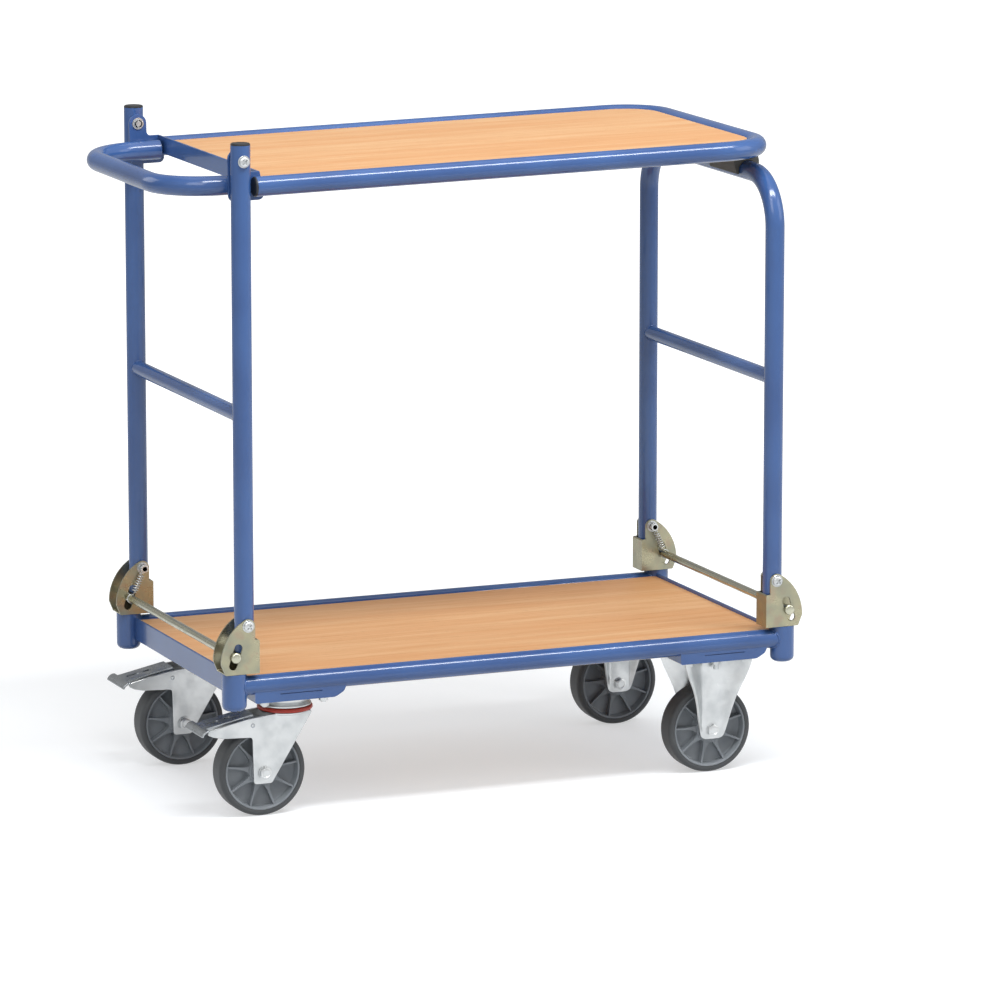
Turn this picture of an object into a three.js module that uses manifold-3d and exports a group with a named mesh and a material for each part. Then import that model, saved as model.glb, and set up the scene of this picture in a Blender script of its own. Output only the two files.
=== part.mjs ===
// Folding serving trolley: a wheeled lower deck, two end frames that fold down onto it,
// and an upper deck that swings over the handle end and lies face down on top.
// Millimetres, +Z up. The origin is on the floor, below the middle of the overall box.
// Left is the handle end (-X), near is -Y. Lengths are measured from the middle of the
// lower deck, and the last lines move the whole model so that its box is centred.
import * as THREE from "three";
import { mergeVertices } from "three/addons/utils/BufferGeometryUtils.js";
import Module from "manifold-3d";

const wasm = await Module();
wasm.setup();

// Clearances and cutting
const gap = 0.3; // between pieces that touch
const runningGap = 0.5; // between pieces that slide or turn past each other
const overrun = 4; // how far a cutting shape runs past what it cuts

// Counts of sides and steps
const tubeSides = 12;
const bendSteps = 5;
const postSides = 16;
const boltSides = 10;
const wheelSides = 20;
const discSides = 20;
const arcSteps = 5;
const coilSides = 5;
const coilSteps = 8;

// Frame tubes
const tubeRadius = 13.5;
const tubeWall = 2;
const bendRadius = 70; // of a tube's centre line
const crossTubeRadius = 10.5;
const crossTubeWall = 1.5;
const crossTubeRise = 286; // above the pivots

// Lower deck frame
const postHalfX = 410.5;
const railHalfY = 216.5;
const postRadius = 17;
const postWall = 2.5;
const postBelowRail = 33; // foot of a corner post, below the rail's axis
const postAboveRail = 18.7;
const postRound = 8; // rounding at its foot
const panelThickness = 10;
const panelRise = 9; // top of a panel above the axis of the tubes round it
const endBarInset = 4.5; // outer face of an end bar, inwards from the post axes
const endBarHeight = 32.5;
const endBarThickness = 3;
const ledgeWidth = 22;
const channelDrop = 24.5; // underside of the caster channels, below the rail's axis
const channelWidth = 134;
const channelFlare = 17;
const channelSheet = 3;
const channelReach = 10.5; // beyond the rails' axes
const channelDepth = 17.5;

// Hinge brackets, measured from the pivot, outwards is away from the deck's middle
const pivotInset = 15.5; // inwards from the post axes
const pivotSetback = 1.5; // inwards from the rail axes
const bossRadius = 10;
const bracketSheet = 2.5;
const bracketDrop = 66;
const sweepInward = 28.8; // centre of the large arc
const sweepDrop = 50.6;
const heelReach = 34.2;
const webDrop = 19.3; // top of the web between the two side plates
const slotTopReach = 14.5;
const slotTopDrop = 29.4;
const slotEndReach = 22.1;
const slotEndDrop = 53;
const stubLength = 37; // of an upright below its pivot

// Pivot bolts
const boltRadius = 4;
const boltHeadRadius = 6.8;
const boltHeadHeight = 4.5;
const boltCollarRadius = 5.6;
const boltCollarHeight = 2.2;
const boltTail = 11; // beyond the bracket, where the spring hangs
const headFaceShare = 0.6; // flat of a domed head, of its radius

// Lock rods and their springs
const rodRadius = 5.5;
const rodRestShare = 0.53; // of the slot, from its top
const rodHeadRadius = 7.5;
const rodHeadHeight = 5;
const rodHeadGap = 1;
const springRadius = 3.9; // of the wire's centre line
const springWire = 1.3;
const springPitch = 2.7;
const springTurns = 8;
const springOffset = 6.2; // beyond the bracket's inner plate
const springLeadShare = 1.2; // straight end of a spring, of its wire

// Left frame and the upper deck's pivot
const topPivotRise = 633.6; // above the lower pivots
const topPivotInset = 21.1; // below the uprights' tops
const capThickness = 3;
const plugDepth = 12;
const plugSeat = 0.4;
const capEdgeShare = 0.7; // height where a cap starts to round
const capFaceShare = 0.9; // flat of a cap, of its radius

// Right frame
const crossbarDrop = 66.6; // below the upper deck's pivot

// Upper deck, measured from its pivot
const deckTilt = 0.9; // degrees, rising towards the right
const deckDrop = 36.5;
const deckTubeStart = 20.5;
const deckSetback = 4; // end tube's axis, inwards from the hoop
const deckBarStart = 29.5;
const deckBarHeight = 24;
const deckBarThickness = 3;
const slatWidth = 25;
const slatThickness = 5;
const slatShares = [0.101145, 0.419211, 0.743639]; // of the deck's reach
const lugThickness = 4;
const lugRadius = 12.8;
const lugReach = 38;
const lugShoulder = 18;
const lugDrop = 57;
const lugCorner = 8;
const handleReach = 90;
const handleStart = 25.5;
const handleBend = 80;
const clipLength = 90;
const clipPlace = 80;
const clipWall = 3.6;
const clipHorn = 5; // how far its horns reach below the axis of the crossbar

// Casters
const casterInset = 93.5; // inwards from the post axes
const wheelSetback = 54; // inwards from the rail axes
const wheelRadius = 62.5;
const wheelWidth = 35;
const tyreDepth = 8;
const tyreShoulder = 6;
const rimWidth = 30;
const rimDepth = 4.2;
const webHalf = 2.5;
const hubRadius = 19;
const hubLength = 41;
const axleRadius = 5;
const axleHeadRadius = 9;
const axleHeadHeight = 5;
const spokeCount = 9;
const spokeWidth = 4;
const spokeHalf = 8; // half the depth of a spoke along the axle
const forkHalf = 22; // inner face of a fork's side, from the wheel's middle plane
const forkSheet = 3;
const forkCrown = 82.5; // top of the swivel fork above the axle
const forkCrownSheet = 4;
const casterHeadHeight = 24.5; // from the swivel fork's crown to the channel
const forkCrownRadius = 32;
const trail = 39;
const sealOuter = 38.5;
const sealInner = 30.4;
const sealHeight = 6;
const topPlateLength = 108;
const topPlateWidth = 94;
const topPlateSheet = 3.5;
const raceRadius = 34;
const kingPinRadius = 6;
const kingPinReach = 7; // below the crown's top
const pedalPivotReach = 17;
const pedalPivotRise = 67.5;
const pedalPinRadius = 3;
const pedalWidth = 40;
const pedalSheet = 3;
const pedalReach = 94.5;
const pedalTipRise = 63;
const pedalRootRise = 79.5;
const pedalTipWidth = 70;
const pedalTipLength = 10.5;
const pedalWindowLength = 34;
const pedalWindowWidth = 14;
const pedalEarDrop = 16;

// Side of the swivel fork from the axle, as shares of its crown's height: the foot, the edge
// up to the crown, the top along the arm that carries the pedal, and back below the arm
const swivelForkShares = [
  [-0.145, -0.188],
  [0.115, -0.188],
  [0.16, -0.145],
  [0.762, 0.844],
  [0.86, 1],
  [0.177, 0.976],
  [-0.267, 0.932],
  [-0.612, 0.864],
  [-0.982, 0.767],
  [-0.994, 0.709],
  [-0.891, 0.675],
  [-0.267, 0.615],
  [-0.212, 0.558],
  [-0.206, -0.097],
  [-0.187, -0.148],
];

// Levels of the fixed fork's side as shares of the wheel's radius: the height above the axle,
// half the width over its wings and how far their edges stand from the middle plane. The last
// level runs on up to the flange.
const fixedForkShares = [
  [-0.19, 0.17, 0.4],
  [-0.15, 0.25, 0.4],
  [-0.01, 0.326, 0.432],
  [0.28, 0.373, 0.496],
  [0.6, 0.438, 0.576],
  [0.84, 0.507, 0.624],
  [1.08, 0.602, 0.688],
  [1.4, 0.752, 0.72],
  [1.66, 0.84, 0.745],
];
const forkColumnShare = 0.66; // half the flat column between the wings, of its lower width
const forkColumnFootShare = 0.326; // that lower width, of the wheel's radius

// Values worked out from the sizes above
const crownTop = wheelRadius + forkCrown;
const channelFloor = crownTop + casterHeadHeight;
const channelWallTop = channelFloor + channelDepth;
const railHeight = channelFloor + channelDrop;
const endBarTop = railHeight + tubeRadius;
const postFoot = railHeight - postBelowRail;
const postTop = railHeight + postAboveRail;
const pivotX = postHalfX - pivotInset;
const pivotY = railHalfY - pivotSetback;
const channelHalfLength = railHalfY + channelReach;
const wheelY = railHalfY - wheelSetback;
const pivotHeight = postTop + gap + bracketDrop;
const topPivotHeight = pivotHeight + topPivotRise;
const uprightTop = topPivotHeight + topPivotInset;
const crossTubeHeight = pivotHeight + crossTubeRise;
const crossbarHeight = topPivotHeight - crossbarDrop;
const deckReach = 2 * pivotX - deckSetback;
const casterX = postHalfX - casterInset;
const sweepRadius = Math.hypot(sweepInward, sweepDrop) + bossRadius;
const plateInner = tubeRadius + runningGap;
const plateOuter = plateInner + bracketSheet;
const holeRadius = boltRadius + gap;
const slotRadius = rodRadius + runningGap;
const webInner = tubeRadius + gap;
const webOuter = webInner + bracketSheet;
const rodReach = slotTopReach + (slotEndReach - slotTopReach) * rodRestShare;
const rodDrop = slotTopDrop + (slotEndDrop - slotTopDrop) * rodRestShare;
const topPlateTop = channelFloor - gap;
const topPlateFloor = topPlateTop - topPlateSheet;
const raceFloor = crownTop + gap;
const sealTop = raceFloor + sealHeight;
const axleRise = wheelRadius;
const boreRadius = axleRadius + runningGap;
const lugOuter = pivotY - tubeRadius - runningGap;
const lugInner = lugOuter - lugThickness;
const handleY = lugInner - gap - tubeRadius;
const deckTopZ = panelRise - deckDrop;

// Finishes
const finishes = {
  paint: new THREE.MeshStandardMaterial({ color: 0x3b5cad, roughness: 0.35, metalness: 0.1 }),
  beech: new THREE.MeshStandardMaterial({ color: 0xe2a66d, roughness: 0.55, metalness: 0 }),
  yellowZinc: new THREE.MeshStandardMaterial({ color: 0xb3ac86, roughness: 0.4, metalness: 0.9 }),
  zinc: new THREE.MeshStandardMaterial({ color: 0xc9ccce, roughness: 0.35, metalness: 0.9 }),
  blackPlastic: new THREE.MeshStandardMaterial({ color: 0x1c1c1e, roughness: 0.5, metalness: 0 }),
  clipRubber: new THREE.MeshStandardMaterial({ color: 0x3a3a38, roughness: 0.7, metalness: 0 }),
  tyreRubber: new THREE.MeshStandardMaterial({ color: 0x3c3e41, roughness: 0.8, metalness: 0 }),
  rimPlastic: new THREE.MeshStandardMaterial({ color: 0x797c80, roughness: 0.55, metalness: 0 }),
  redSeal: new THREE.MeshStandardMaterial({ color: 0xb5301f, roughness: 0.5, metalness: 0 }),
  pedalSteel: new THREE.MeshStandardMaterial({ color: 0x55595b, roughness: 0.45, metalness: 0.8 }),
};

// A geometry whose shared corners are one, with no collapsed triangles.
function merged(geometry) {
  const bare = geometry.clone();
  bare.deleteAttribute("normal");
  bare.deleteAttribute("uv");
  const welded = mergeVertices(bare, 1e-4);
  const index = welded.index.array;
  const kept = [];
  for (let i = 0; i < index.length; i += 3) {
    const [a, b, c] = [index[i], index[i + 1], index[i + 2]];
    if (a !== b && b !== c && a !== c) kept.push(a, b, c);
  }
  welded.setIndex(kept);
  return welded;
}

function solidOf(geometry) {
  const welded = merged(geometry);
  return new wasm.Manifold(
    new wasm.Mesh({
      numProp: 3,
      vertProperties: welded.attributes.position.array,
      triVerts: new Uint32Array(welded.index.array),
    }),
  );
}

function geometryOf(solid) {
  const mesh = solid.getMesh();
  const geometry = new THREE.BufferGeometry();
  const corners = new Float32Array(mesh.numVert * 3);
  for (let i = 0; i < mesh.numVert; i++) {
    const start = i * mesh.numProp;
    corners.set(mesh.vertProperties.subarray(start, start + 3), i * 3);
  }
  geometry.setAttribute("position", new THREE.BufferAttribute(corners, 3));
  geometry.setIndex(new THREE.BufferAttribute(mesh.triVerts.slice(), 1));
  return geometry;
}

function join(...geometries) {
  return geometryOf(geometries.map(solidOf).reduce((whole, piece) => whole.add(piece)));
}

function cut(geometry, ...tools) {
  return geometryOf(tools.map(solidOf).reduce((whole, tool) => whole.subtract(tool), solidOf(geometry)));
}

// Shapes from lists of points, and the solids made from them
const degrees = (angle) => THREE.MathUtils.degToRad(angle);
const point = (x, y) => new THREE.Vector2(x, y);

function circlePoints(radius, sides) {
  return Array.from({ length: sides }, (_, i) => {
    const angle = (2 * Math.PI * i) / sides;
    return point(radius * Math.cos(angle), radius * Math.sin(angle));
  });
}

function arcPoints(x, y, radius, from, to, steps = arcSteps) {
  return Array.from({ length: steps + 1 }, (_, i) => {
    const angle = from + ((to - from) * i) / steps;
    return point(x + radius * Math.cos(angle), y + radius * Math.sin(angle));
  });
}

// A flat plate in the XZ plane, its thickness centred on Y = 0.
function plateXZ(points, thickness) {
  const plate = new THREE.ExtrudeGeometry(new THREE.Shape(points), {
    depth: thickness,
    bevelEnabled: false,
  });
  return plate.translate(0, 0, -thickness / 2).rotateX(Math.PI / 2);
}

// A flat plate in the XY plane, from Z = 0 upwards.
function plateXY(points, thickness) {
  return new THREE.ExtrudeGeometry(new THREE.Shape(points), { depth: thickness, bevelEnabled: false });
}

// A block between two corners.
function block(x0, x1, y0, y1, z0, z1) {
  const box = new THREE.BoxGeometry(x1 - x0, y1 - y0, z1 - z0);
  return box.translate((x0 + x1) / 2, (y0 + y1) / 2, (z0 + z1) / 2);
}

// Round solids: a profile of [radius, place along the axis] turned about Y or Z.
function turnedY(profile, sides, start = 0) {
  return new THREE.LatheGeometry(
    profile.map(([r, y]) => point(r, y)),
    sides,
    start,
  );
}

function turnedZ(profile, sides) {
  return turnedY(profile, sides).rotateX(Math.PI / 2);
}

function rodY(radius, y0, y1, sides = boltSides) {
  return turnedY(rodProfile(radius, y0, y1), sides);
}

function rodZ(radius, z0, z1, sides = boltSides) {
  return turnedZ(rodProfile(radius, z0, z1), sides);
}

function rodX(radius, x0, x1, sides = tubeSides) {
  return rodZ(radius, x0, x1, sides).rotateY(Math.PI / 2);
}

function rodProfile(radius, low, high) {
  return [
    [0, low],
    [radius, low],
    [radius, high],
    [0, high],
  ];
}

// A route of straights and round bends through a list of corners. Its rings stand at the
// ends and along the bends only, so straights cost nothing.
class BentRoute extends THREE.Curve {
  constructor(corners, radius, steps) {
    super();
    this.rings = [];
    const last = corners.length - 1;
    corners.forEach((corner, i) => {
      if (i === 0 || i === last) {
        const other = i === 0 ? corners[1] : corners[last - 1];
        const along = (i === 0 ? other.clone().sub(corner) : corner.clone().sub(other)).normalize();
        this.rings.push({ place: corner, along });
        return;
      }
      const into = corner.clone().sub(corners[i - 1]).normalize();
      const out = corners[i + 1].clone().sub(corner).normalize();
      const turn = into.angleTo(out);
      const setback = radius * Math.tan(turn / 2);
      const start = corner.clone().addScaledVector(into, -setback);
      const inward = out.clone().addScaledVector(into, -out.dot(into)).normalize();
      for (let k = 0; k <= steps; k++) {
        const angle = (turn * k) / steps;
        const place = start
          .clone()
          .addScaledVector(into, radius * Math.sin(angle))
          .addScaledVector(inward, radius * (1 - Math.cos(angle)));
        const along = into.clone().multiplyScalar(Math.cos(angle)).addScaledVector(inward, Math.sin(angle));
        this.rings.push({ place, along });
      }
    });
  }

  ringAt(share) {
    return this.rings[Math.round(share * (this.rings.length - 1))];
  }

  getPointAt(share, target = new THREE.Vector3()) {
    return target.copy(this.ringAt(share).place);
  }

  getTangentAt(share, target = new THREE.Vector3()) {
    return target.copy(this.ringAt(share).along);
  }
}

// A tube along a route, hollow where a wall is given.
function tubeAlong(route, radius, wall = 0) {
  const shape = new THREE.Shape(circlePoints(radius, tubeSides));
  if (wall) shape.holes.push(new THREE.Path(circlePoints(radius - wall, tubeSides)));
  return new THREE.ExtrudeGeometry(shape, {
    steps: route.rings.length - 1,
    extrudePath: route,
    bevelEnabled: false,
  });
}

const vector = (x, y, z) => new THREE.Vector3(x, y, z);

function named(name, geometry, finish) {
  const mesh = new THREE.Mesh(geometry, finishes[finish]);
  mesh.name = name;
  return mesh;
}

function group(x, y, z, ...children) {
  const made = new THREE.Group();
  made.position.set(x, y, z);
  made.add(...children);
  return made;
}

const rows = [
  { row: "near", side: -1 },
  { row: "far", side: 1 },
];
const ends = [
  { end: "left", out: -1 },
  { end: "right", out: 1 },
];

// The welded lower frame: four posts, two rails, two angle bars and two caster channels.
function chassisFrame() {
  const outers = [];
  const inners = [];
  for (const { out } of ends) {
    for (const { side } of rows) {
      const post = turnedZ(
        [
          [0, postFoot],
          [postRadius - postRound, postFoot],
          [postRadius - postRound / 3, postFoot + postRound / 3],
          [postRadius, postFoot + postRound],
          [postRadius, postTop],
          [0, postTop],
        ],
        postSides,
      );
      const hollow = rodZ(postRadius - postWall, postFoot + postRound, postTop + overrun, postSides);
      outers.push(post.translate(out * postHalfX, side * railHalfY, 0));
      inners.push(hollow.translate(out * postHalfX, side * railHalfY, 0));
    }
    outers.push(endBar(out));
    outers.push(casterChannel(out * casterX));
  }
  for (const { side } of rows) {
    const rail = rodX(tubeRadius, -postHalfX, postHalfX);
    const bore = rodX(tubeRadius - tubeWall, -postHalfX, postHalfX);
    outers.push(rail.translate(0, side * railHalfY, railHeight));
    inners.push(bore.translate(0, side * railHalfY, railHeight));
  }
  return cut(join(...outers), ...inners);
}

// An upright bar across one end with a ledge below the panel.
function endBar(out) {
  const face = out * (postHalfX - endBarInset);
  const back = face - out * endBarThickness;
  const ledge = back - out * ledgeWidth;
  const panelFloor = railHeight + panelRise - panelThickness - gap;
  const reach = railHalfY - postRadius / 2;
  const bar = block(
    Math.min(face, back),
    Math.max(face, back),
    -reach,
    reach,
    endBarTop - endBarHeight,
    endBarTop,
  );
  const shelf = block(
    Math.min(face, ledge),
    Math.max(face, ledge),
    -reach,
    reach,
    panelFloor - endBarThickness,
    panelFloor,
  );
  return join(bar, shelf);
}

// A pressed channel under both rails: a flat floor, one upright wall and one flared wall.
function casterChannel(x) {
  const left = x - channelWidth / 2;
  const right = x + channelWidth / 2;
  const rise = channelWallTop - channelFloor;
  const outline = [
    point(left, channelFloor),
    point(right - channelFlare, channelFloor),
    point(right - channelFlare / 3, channelFloor + rise / 3),
    point(right, channelWallTop),
    point(left, channelWallTop),
  ];
  const hollowOutline = [
    point(left + channelSheet, channelFloor + channelSheet),
    point(right - channelFlare - channelSheet, channelFloor + channelSheet),
    point(right - channelFlare / 3 - channelSheet, channelFloor + channelSheet + rise / 3),
    point(right - channelSheet, channelWallTop + overrun),
    point(left + channelSheet, channelWallTop + overrun),
  ];
  const tray = plateXZ(outline, 2 * channelHalfLength);
  return cut(tray, plateXZ(hollowOutline, 2 * (channelHalfLength - channelSheet)));
}

// The lower panel fills the frame up to its rails, posts and end bars.
function lowerPanel() {
  const top = railHeight + panelRise;
  const halfX = postHalfX - endBarInset - endBarThickness - gap;
  const panel = block(-halfX, halfX, -railHalfY, railHalfY, top - panelThickness, top);
  const tools = rows.map(({ side }) =>
    rodX(tubeRadius + gap, -postHalfX, postHalfX).translate(0, side * railHalfY, railHeight),
  );
  for (const { out } of ends) {
    for (const { side } of rows) {
      const post = rodZ(postRadius + gap, postFoot, postTop, postSides);
      tools.push(post.translate(out * postHalfX, side * railHalfY, 0));
    }
  }
  return cut(panel, ...tools);
}

// Outline of a hinge bracket's side plate in XZ, for an end that lies towards out.
function bracketOutline(out) {
  const meet = Math.atan2(sweepDrop, sweepInward);
  const boss = arcPoints(0, 0, bossRadius, Math.PI, meet);
  const sweep = arcPoints(-sweepInward, -sweepDrop, sweepRadius, meet, 0);
  const corners = [
    point(-webOuter, -bracketDrop),
    point(-webOuter, -webDrop),
    point(-bossRadius, -webDrop),
    ...boss,
    ...sweep.slice(1),
    point(heelReach, -bracketDrop),
  ];
  return out > 0 ? corners.reverse() : corners.map((p) => point(-p.x, p.y));
}

// A pressed bracket: two slotted side plates, a web on the inner side and a foot plate.
function hingeBracket(out) {
  const flat = plateXZ(bracketOutline(out), bracketSheet);
  const plateMiddle = plateInner + bracketSheet / 2;
  const xs = (near, far) => [Math.min(out * near, out * far), Math.max(out * near, out * far)];
  const web = block(...xs(-webInner, -webOuter), -plateOuter, plateOuter, -bracketDrop, -webDrop);
  const foot = block(
    ...xs(-webOuter, heelReach),
    -plateOuter,
    plateOuter,
    -bracketDrop,
    bracketSheet - bracketDrop,
  );
  const whole = join(
    flat.clone().translate(0, -plateMiddle, 0),
    flat.clone().translate(0, plateMiddle, 0),
    web,
    foot,
  );
  const reach = plateOuter + overrun;
  const angle = Math.atan2(slotEndDrop - slotTopDrop, slotEndReach - slotTopReach);
  const slotPoints = [
    ...arcPoints(slotTopReach, -slotTopDrop, slotRadius, Math.PI / 2 - angle, 1.5 * Math.PI - angle),
    ...arcPoints(slotEndReach, -slotEndDrop, slotRadius, 1.5 * Math.PI - angle, 2.5 * Math.PI - angle),
  ];
  const slotOutline = out > 0 ? slotPoints : slotPoints.map((p) => point(-p.x, p.y)).reverse();
  return cut(whole, rodY(holeRadius, -reach, reach), plateXZ(slotOutline, 2 * reach));
}

// A pivot bolt with its head outwards and a collared tail inwards for the lock spring.
function hingeBolt(side) {
  const face = plateOuter + gap;
  const tail = face + boltTail;
  const profile = [
    [0, -tail],
    [boltCollarRadius, -tail],
    [boltCollarRadius, -tail + boltCollarHeight],
    [boltRadius, -tail + boltCollarHeight],
    [boltRadius, face],
    [boltHeadRadius, face],
    [boltHeadRadius, face + boltHeadHeight / 2],
    [boltHeadRadius * headFaceShare, face + boltHeadHeight],
    [0, face + boltHeadHeight],
  ];
  const bolt = turnedY(profile, boltSides);
  return side > 0 ? bolt : bolt.rotateX(Math.PI);
}

// A wire wound round +Y from the origin, with straight ends on the axis.
function springWireGeometry(length) {
  const lead = springWire * springLeadShare;
  const body = springTurns * springPitch;
  const taper = (length - body - 2 * lead) / 2;
  const blendSteps = coilSteps;
  const places = [vector(0, 0, 0), vector(0, lead, 0)];
  const spiralAt = (radius, turn, height) =>
    vector(radius * Math.cos(2 * Math.PI * turn), height, radius * Math.sin(2 * Math.PI * turn));
  const widthAt = (share) => springRadius * Math.sin((share * Math.PI) / 2);
  for (let i = 1; i < blendSteps; i++) {
    const share = i / blendSteps;
    places.push(spiralAt(widthAt(share), share - 1, lead + taper * share));
  }
  const total = springTurns * coilSteps;
  for (let i = 0; i <= total; i++) {
    places.push(spiralAt(springRadius, i / coilSteps, lead + taper + (body * i) / total));
  }
  for (let i = blendSteps - 1; i >= 1; i--) {
    const share = i / blendSteps;
    places.push(spiralAt(widthAt(share), springTurns + 1 - share, length - lead - taper * share));
  }
  places.push(vector(0, length - lead, 0), vector(0, length, 0));
  return { geometry: wireThrough(places, springWire / 2), clear: leastSelfGap(places) };
}

// One unbroken tube of few sides through a list of places.
function wireThrough(places, radius) {
  const corners = [];
  const last = places.length - 1;
  const along = places.map((place, i) =>
    places[Math.min(i + 1, last)].clone().sub(places[Math.max(i - 1, 0)]).normalize(),
  );
  along[0].set(0, 1, 0);
  along[last].set(0, 1, 0);
  let side = vector(1, 0, 0);
  places.forEach((place, i) => {
    side = side.clone().addScaledVector(along[i], -side.dot(along[i])).normalize();
    const up = along[i].clone().cross(side);
    for (let k = 0; k < coilSides; k++) {
      const angle = (2 * Math.PI * k) / coilSides;
      const spot = place
        .clone()
        .addScaledVector(side, radius * Math.cos(angle))
        .addScaledVector(up, radius * Math.sin(angle));
      corners.push(spot.x, spot.y, spot.z);
    }
  });
  const faces = [];
  for (let i = 0; i < last; i++) {
    for (let k = 0; k < coilSides; k++) {
      const a = i * coilSides + k;
      const b = i * coilSides + ((k + 1) % coilSides);
      faces.push(a, b, b + coilSides, a, b + coilSides, a + coilSides);
    }
  }
  for (let k = 1; k < coilSides - 1; k++) {
    faces.push(0, k + 1, k);
    faces.push(last * coilSides, last * coilSides + k, last * coilSides + k + 1);
  }
  const geometry = new THREE.BufferGeometry();
  geometry.setAttribute("position", new THREE.BufferAttribute(new Float32Array(corners), 3));
  geometry.setIndex(faces);
  return geometry;
}

// Least gap between turns, measured between places more than half a turn apart.
function leastSelfGap(places) {
  let least = Infinity;
  for (let i = 0; i < places.length; i++) {
    for (let j = i + coilSteps / 2 + 1; j < places.length; j++) {
      least = Math.min(least, places[i].distanceTo(places[j]) - springWire);
    }
  }
  return least;
}

// Least gap between the turns of each lock spring, printed at the end
const springGaps = [];

// A lock spring, hung from the tail of the pivot bolt and pulling on the lock rod.
function lockSpring(out) {
  const reach = Math.hypot(rodReach, rodDrop);
  const start = boltRadius + gap;
  const { geometry, clear } = springWireGeometry(reach - start - rodRadius - gap);
  springGaps.push(clear);
  const lean = Math.atan2(rodReach, rodDrop);
  return geometry
    .translate(0, start, 0)
    .rotateX(-Math.PI / 2)
    .rotateY(-out * lean);
}

function hingeCorners() {
  const corners = [];
  for (const { end, out } of ends) {
    for (const { row, side } of rows) {
      const bracket = named(`hinge_bracket_${end}_${row}`, hingeBracket(out), "yellowZinc");
      const bolt = named(`hinge_bolt_${end}_${row}`, hingeBolt(side), "zinc");
      const spring = named(`lock_spring_${end}_${row}`, lockSpring(out), "zinc");
      spring.position.y = -side * (plateOuter + springOffset);
      corners.push(group(out * pivotX, side * pivotY, pivotHeight, bracket, bolt, spring));
    }
  }
  return corners;
}

// A rod across one end, held in the slots of both brackets, with a round head outside each.
function lockRod() {
  const shank = pivotY + plateOuter + rodHeadGap;
  const tip = shank + rodHeadHeight;
  return turnedY(
    [
      [0, -tip],
      [rodHeadRadius * headFaceShare, -tip],
      [rodHeadRadius, -shank - rodHeadHeight / 2],
      [rodHeadRadius, -shank],
      [rodRadius, -shank],
      [rodRadius, shank],
      [rodHeadRadius, shank],
      [rodHeadRadius, shank + rodHeadHeight / 2],
      [rodHeadRadius * headFaceShare, tip],
      [0, tip],
    ],
    boltSides,
  );
}

function lockRods() {
  return ends.map(({ end, out }) => {
    const rod = named(`lock_rod_${end}`, lockRod(), "yellowZinc");
    return group(out * (pivotX + rodReach), 0, pivotHeight - rodDrop, rod);
  });
}

// A hollow upright with holes for its pivots, from its stub to its open top.
function upright() {
  const low = -stubLength;
  const high = uprightTop - pivotHeight;
  const tube = cut(
    rodZ(tubeRadius, low, high, tubeSides),
    rodZ(tubeRadius - tubeWall, low - overrun, high + overrun, tubeSides),
  );
  const reach = tubeRadius + overrun;
  const topHole = rodY(holeRadius, -reach, reach).translate(0, 0, topPivotHeight - pivotHeight);
  return cut(tube, rodY(holeRadius, -reach, reach), topHole);
}

// A tube between two legs of a frame, its ends cut to the legs.
function crossTube() {
  const tube = cut(
    rodY(crossTubeRadius, -pivotY, pivotY, tubeSides),
    rodY(crossTubeRadius - crossTubeWall, -pivotY - overrun, pivotY + overrun, tubeSides),
  );
  const reach = crossTubeRadius + overrun;
  const legs = rows.map(({ side }) => {
    const leg = rodZ(tubeRadius + gap, -reach, reach, tubeSides);
    return leg.translate(0, side * pivotY, 0);
  });
  return cut(tube, ...legs);
}

// A plastic plug: a flange as wide as the tube, and a stem that seats in its bore.
function plugZ() {
  const stem = tubeRadius - tubeWall - plugSeat;
  return turnedZ(
    [
      [0, -plugDepth],
      [stem, -plugDepth],
      [stem, gap],
      [tubeRadius, gap],
      [tubeRadius, capThickness * capEdgeShare],
      [tubeRadius * capFaceShare, capThickness],
      [0, capThickness],
    ],
    tubeSides,
  );
}

// The bolt of the upper deck's pivot, through an upright and the deck's lug.
function deckBolt(side) {
  const head = tubeRadius + gap;
  const nut = pivotY - lugInner + gap;
  const bolt = turnedY(
    [
      [0, -nut - boltHeadHeight],
      [boltHeadRadius, -nut - boltHeadHeight],
      [boltHeadRadius, -nut],
      [boltRadius, -nut],
      [boltRadius, head],
      [boltHeadRadius, head],
      [boltHeadRadius, head + boltHeadHeight / 2],
      [boltHeadRadius * headFaceShare, head + boltHeadHeight],
      [0, head + boltHeadHeight],
    ],
    boltSides,
  );
  return side > 0 ? bolt : bolt.rotateX(Math.PI);
}

function leftFrame() {
  const pieces = [];
  for (const { row, side } of rows) {
    const tube = named(`upright_${row}`, upright(), "paint");
    const cap = named(`upright_cap_${row}`, plugZ(), "blackPlastic");
    cap.position.z = uprightTop - pivotHeight;
    const bolt = named(`deck_bolt_${row}`, deckBolt(side), "zinc");
    bolt.position.z = topPivotHeight - pivotHeight;
    pieces.push(group(0, side * pivotY, 0, tube, cap, bolt));
  }
  const tube = named("left_cross_tube", crossTube(), "paint");
  tube.position.z = crossTubeHeight - pivotHeight;
  return group(-pivotX, 0, pivotHeight, ...pieces, tube);
}

// The right frame is one tube bent into a hoop that stands on its two open ends.
function rightFrame() {
  const top = crossbarHeight - pivotHeight;
  const route = new BentRoute(
    [
      vector(0, -pivotY, -stubLength),
      vector(0, -pivotY, top),
      vector(0, pivotY, top),
      vector(0, pivotY, -stubLength),
    ],
    bendRadius,
    bendSteps,
  );
  const reach = pivotY + tubeRadius + overrun;
  const hoop = cut(tubeAlong(route, tubeRadius, tubeWall), rodY(holeRadius, -reach, reach));
  const tube = named("right_cross_tube", crossTube(), "paint");
  tube.position.z = crossTubeHeight - pivotHeight;
  return group(pivotX, 0, pivotHeight, named("right_hoop", hoop, "paint"), tube);
}

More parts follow.
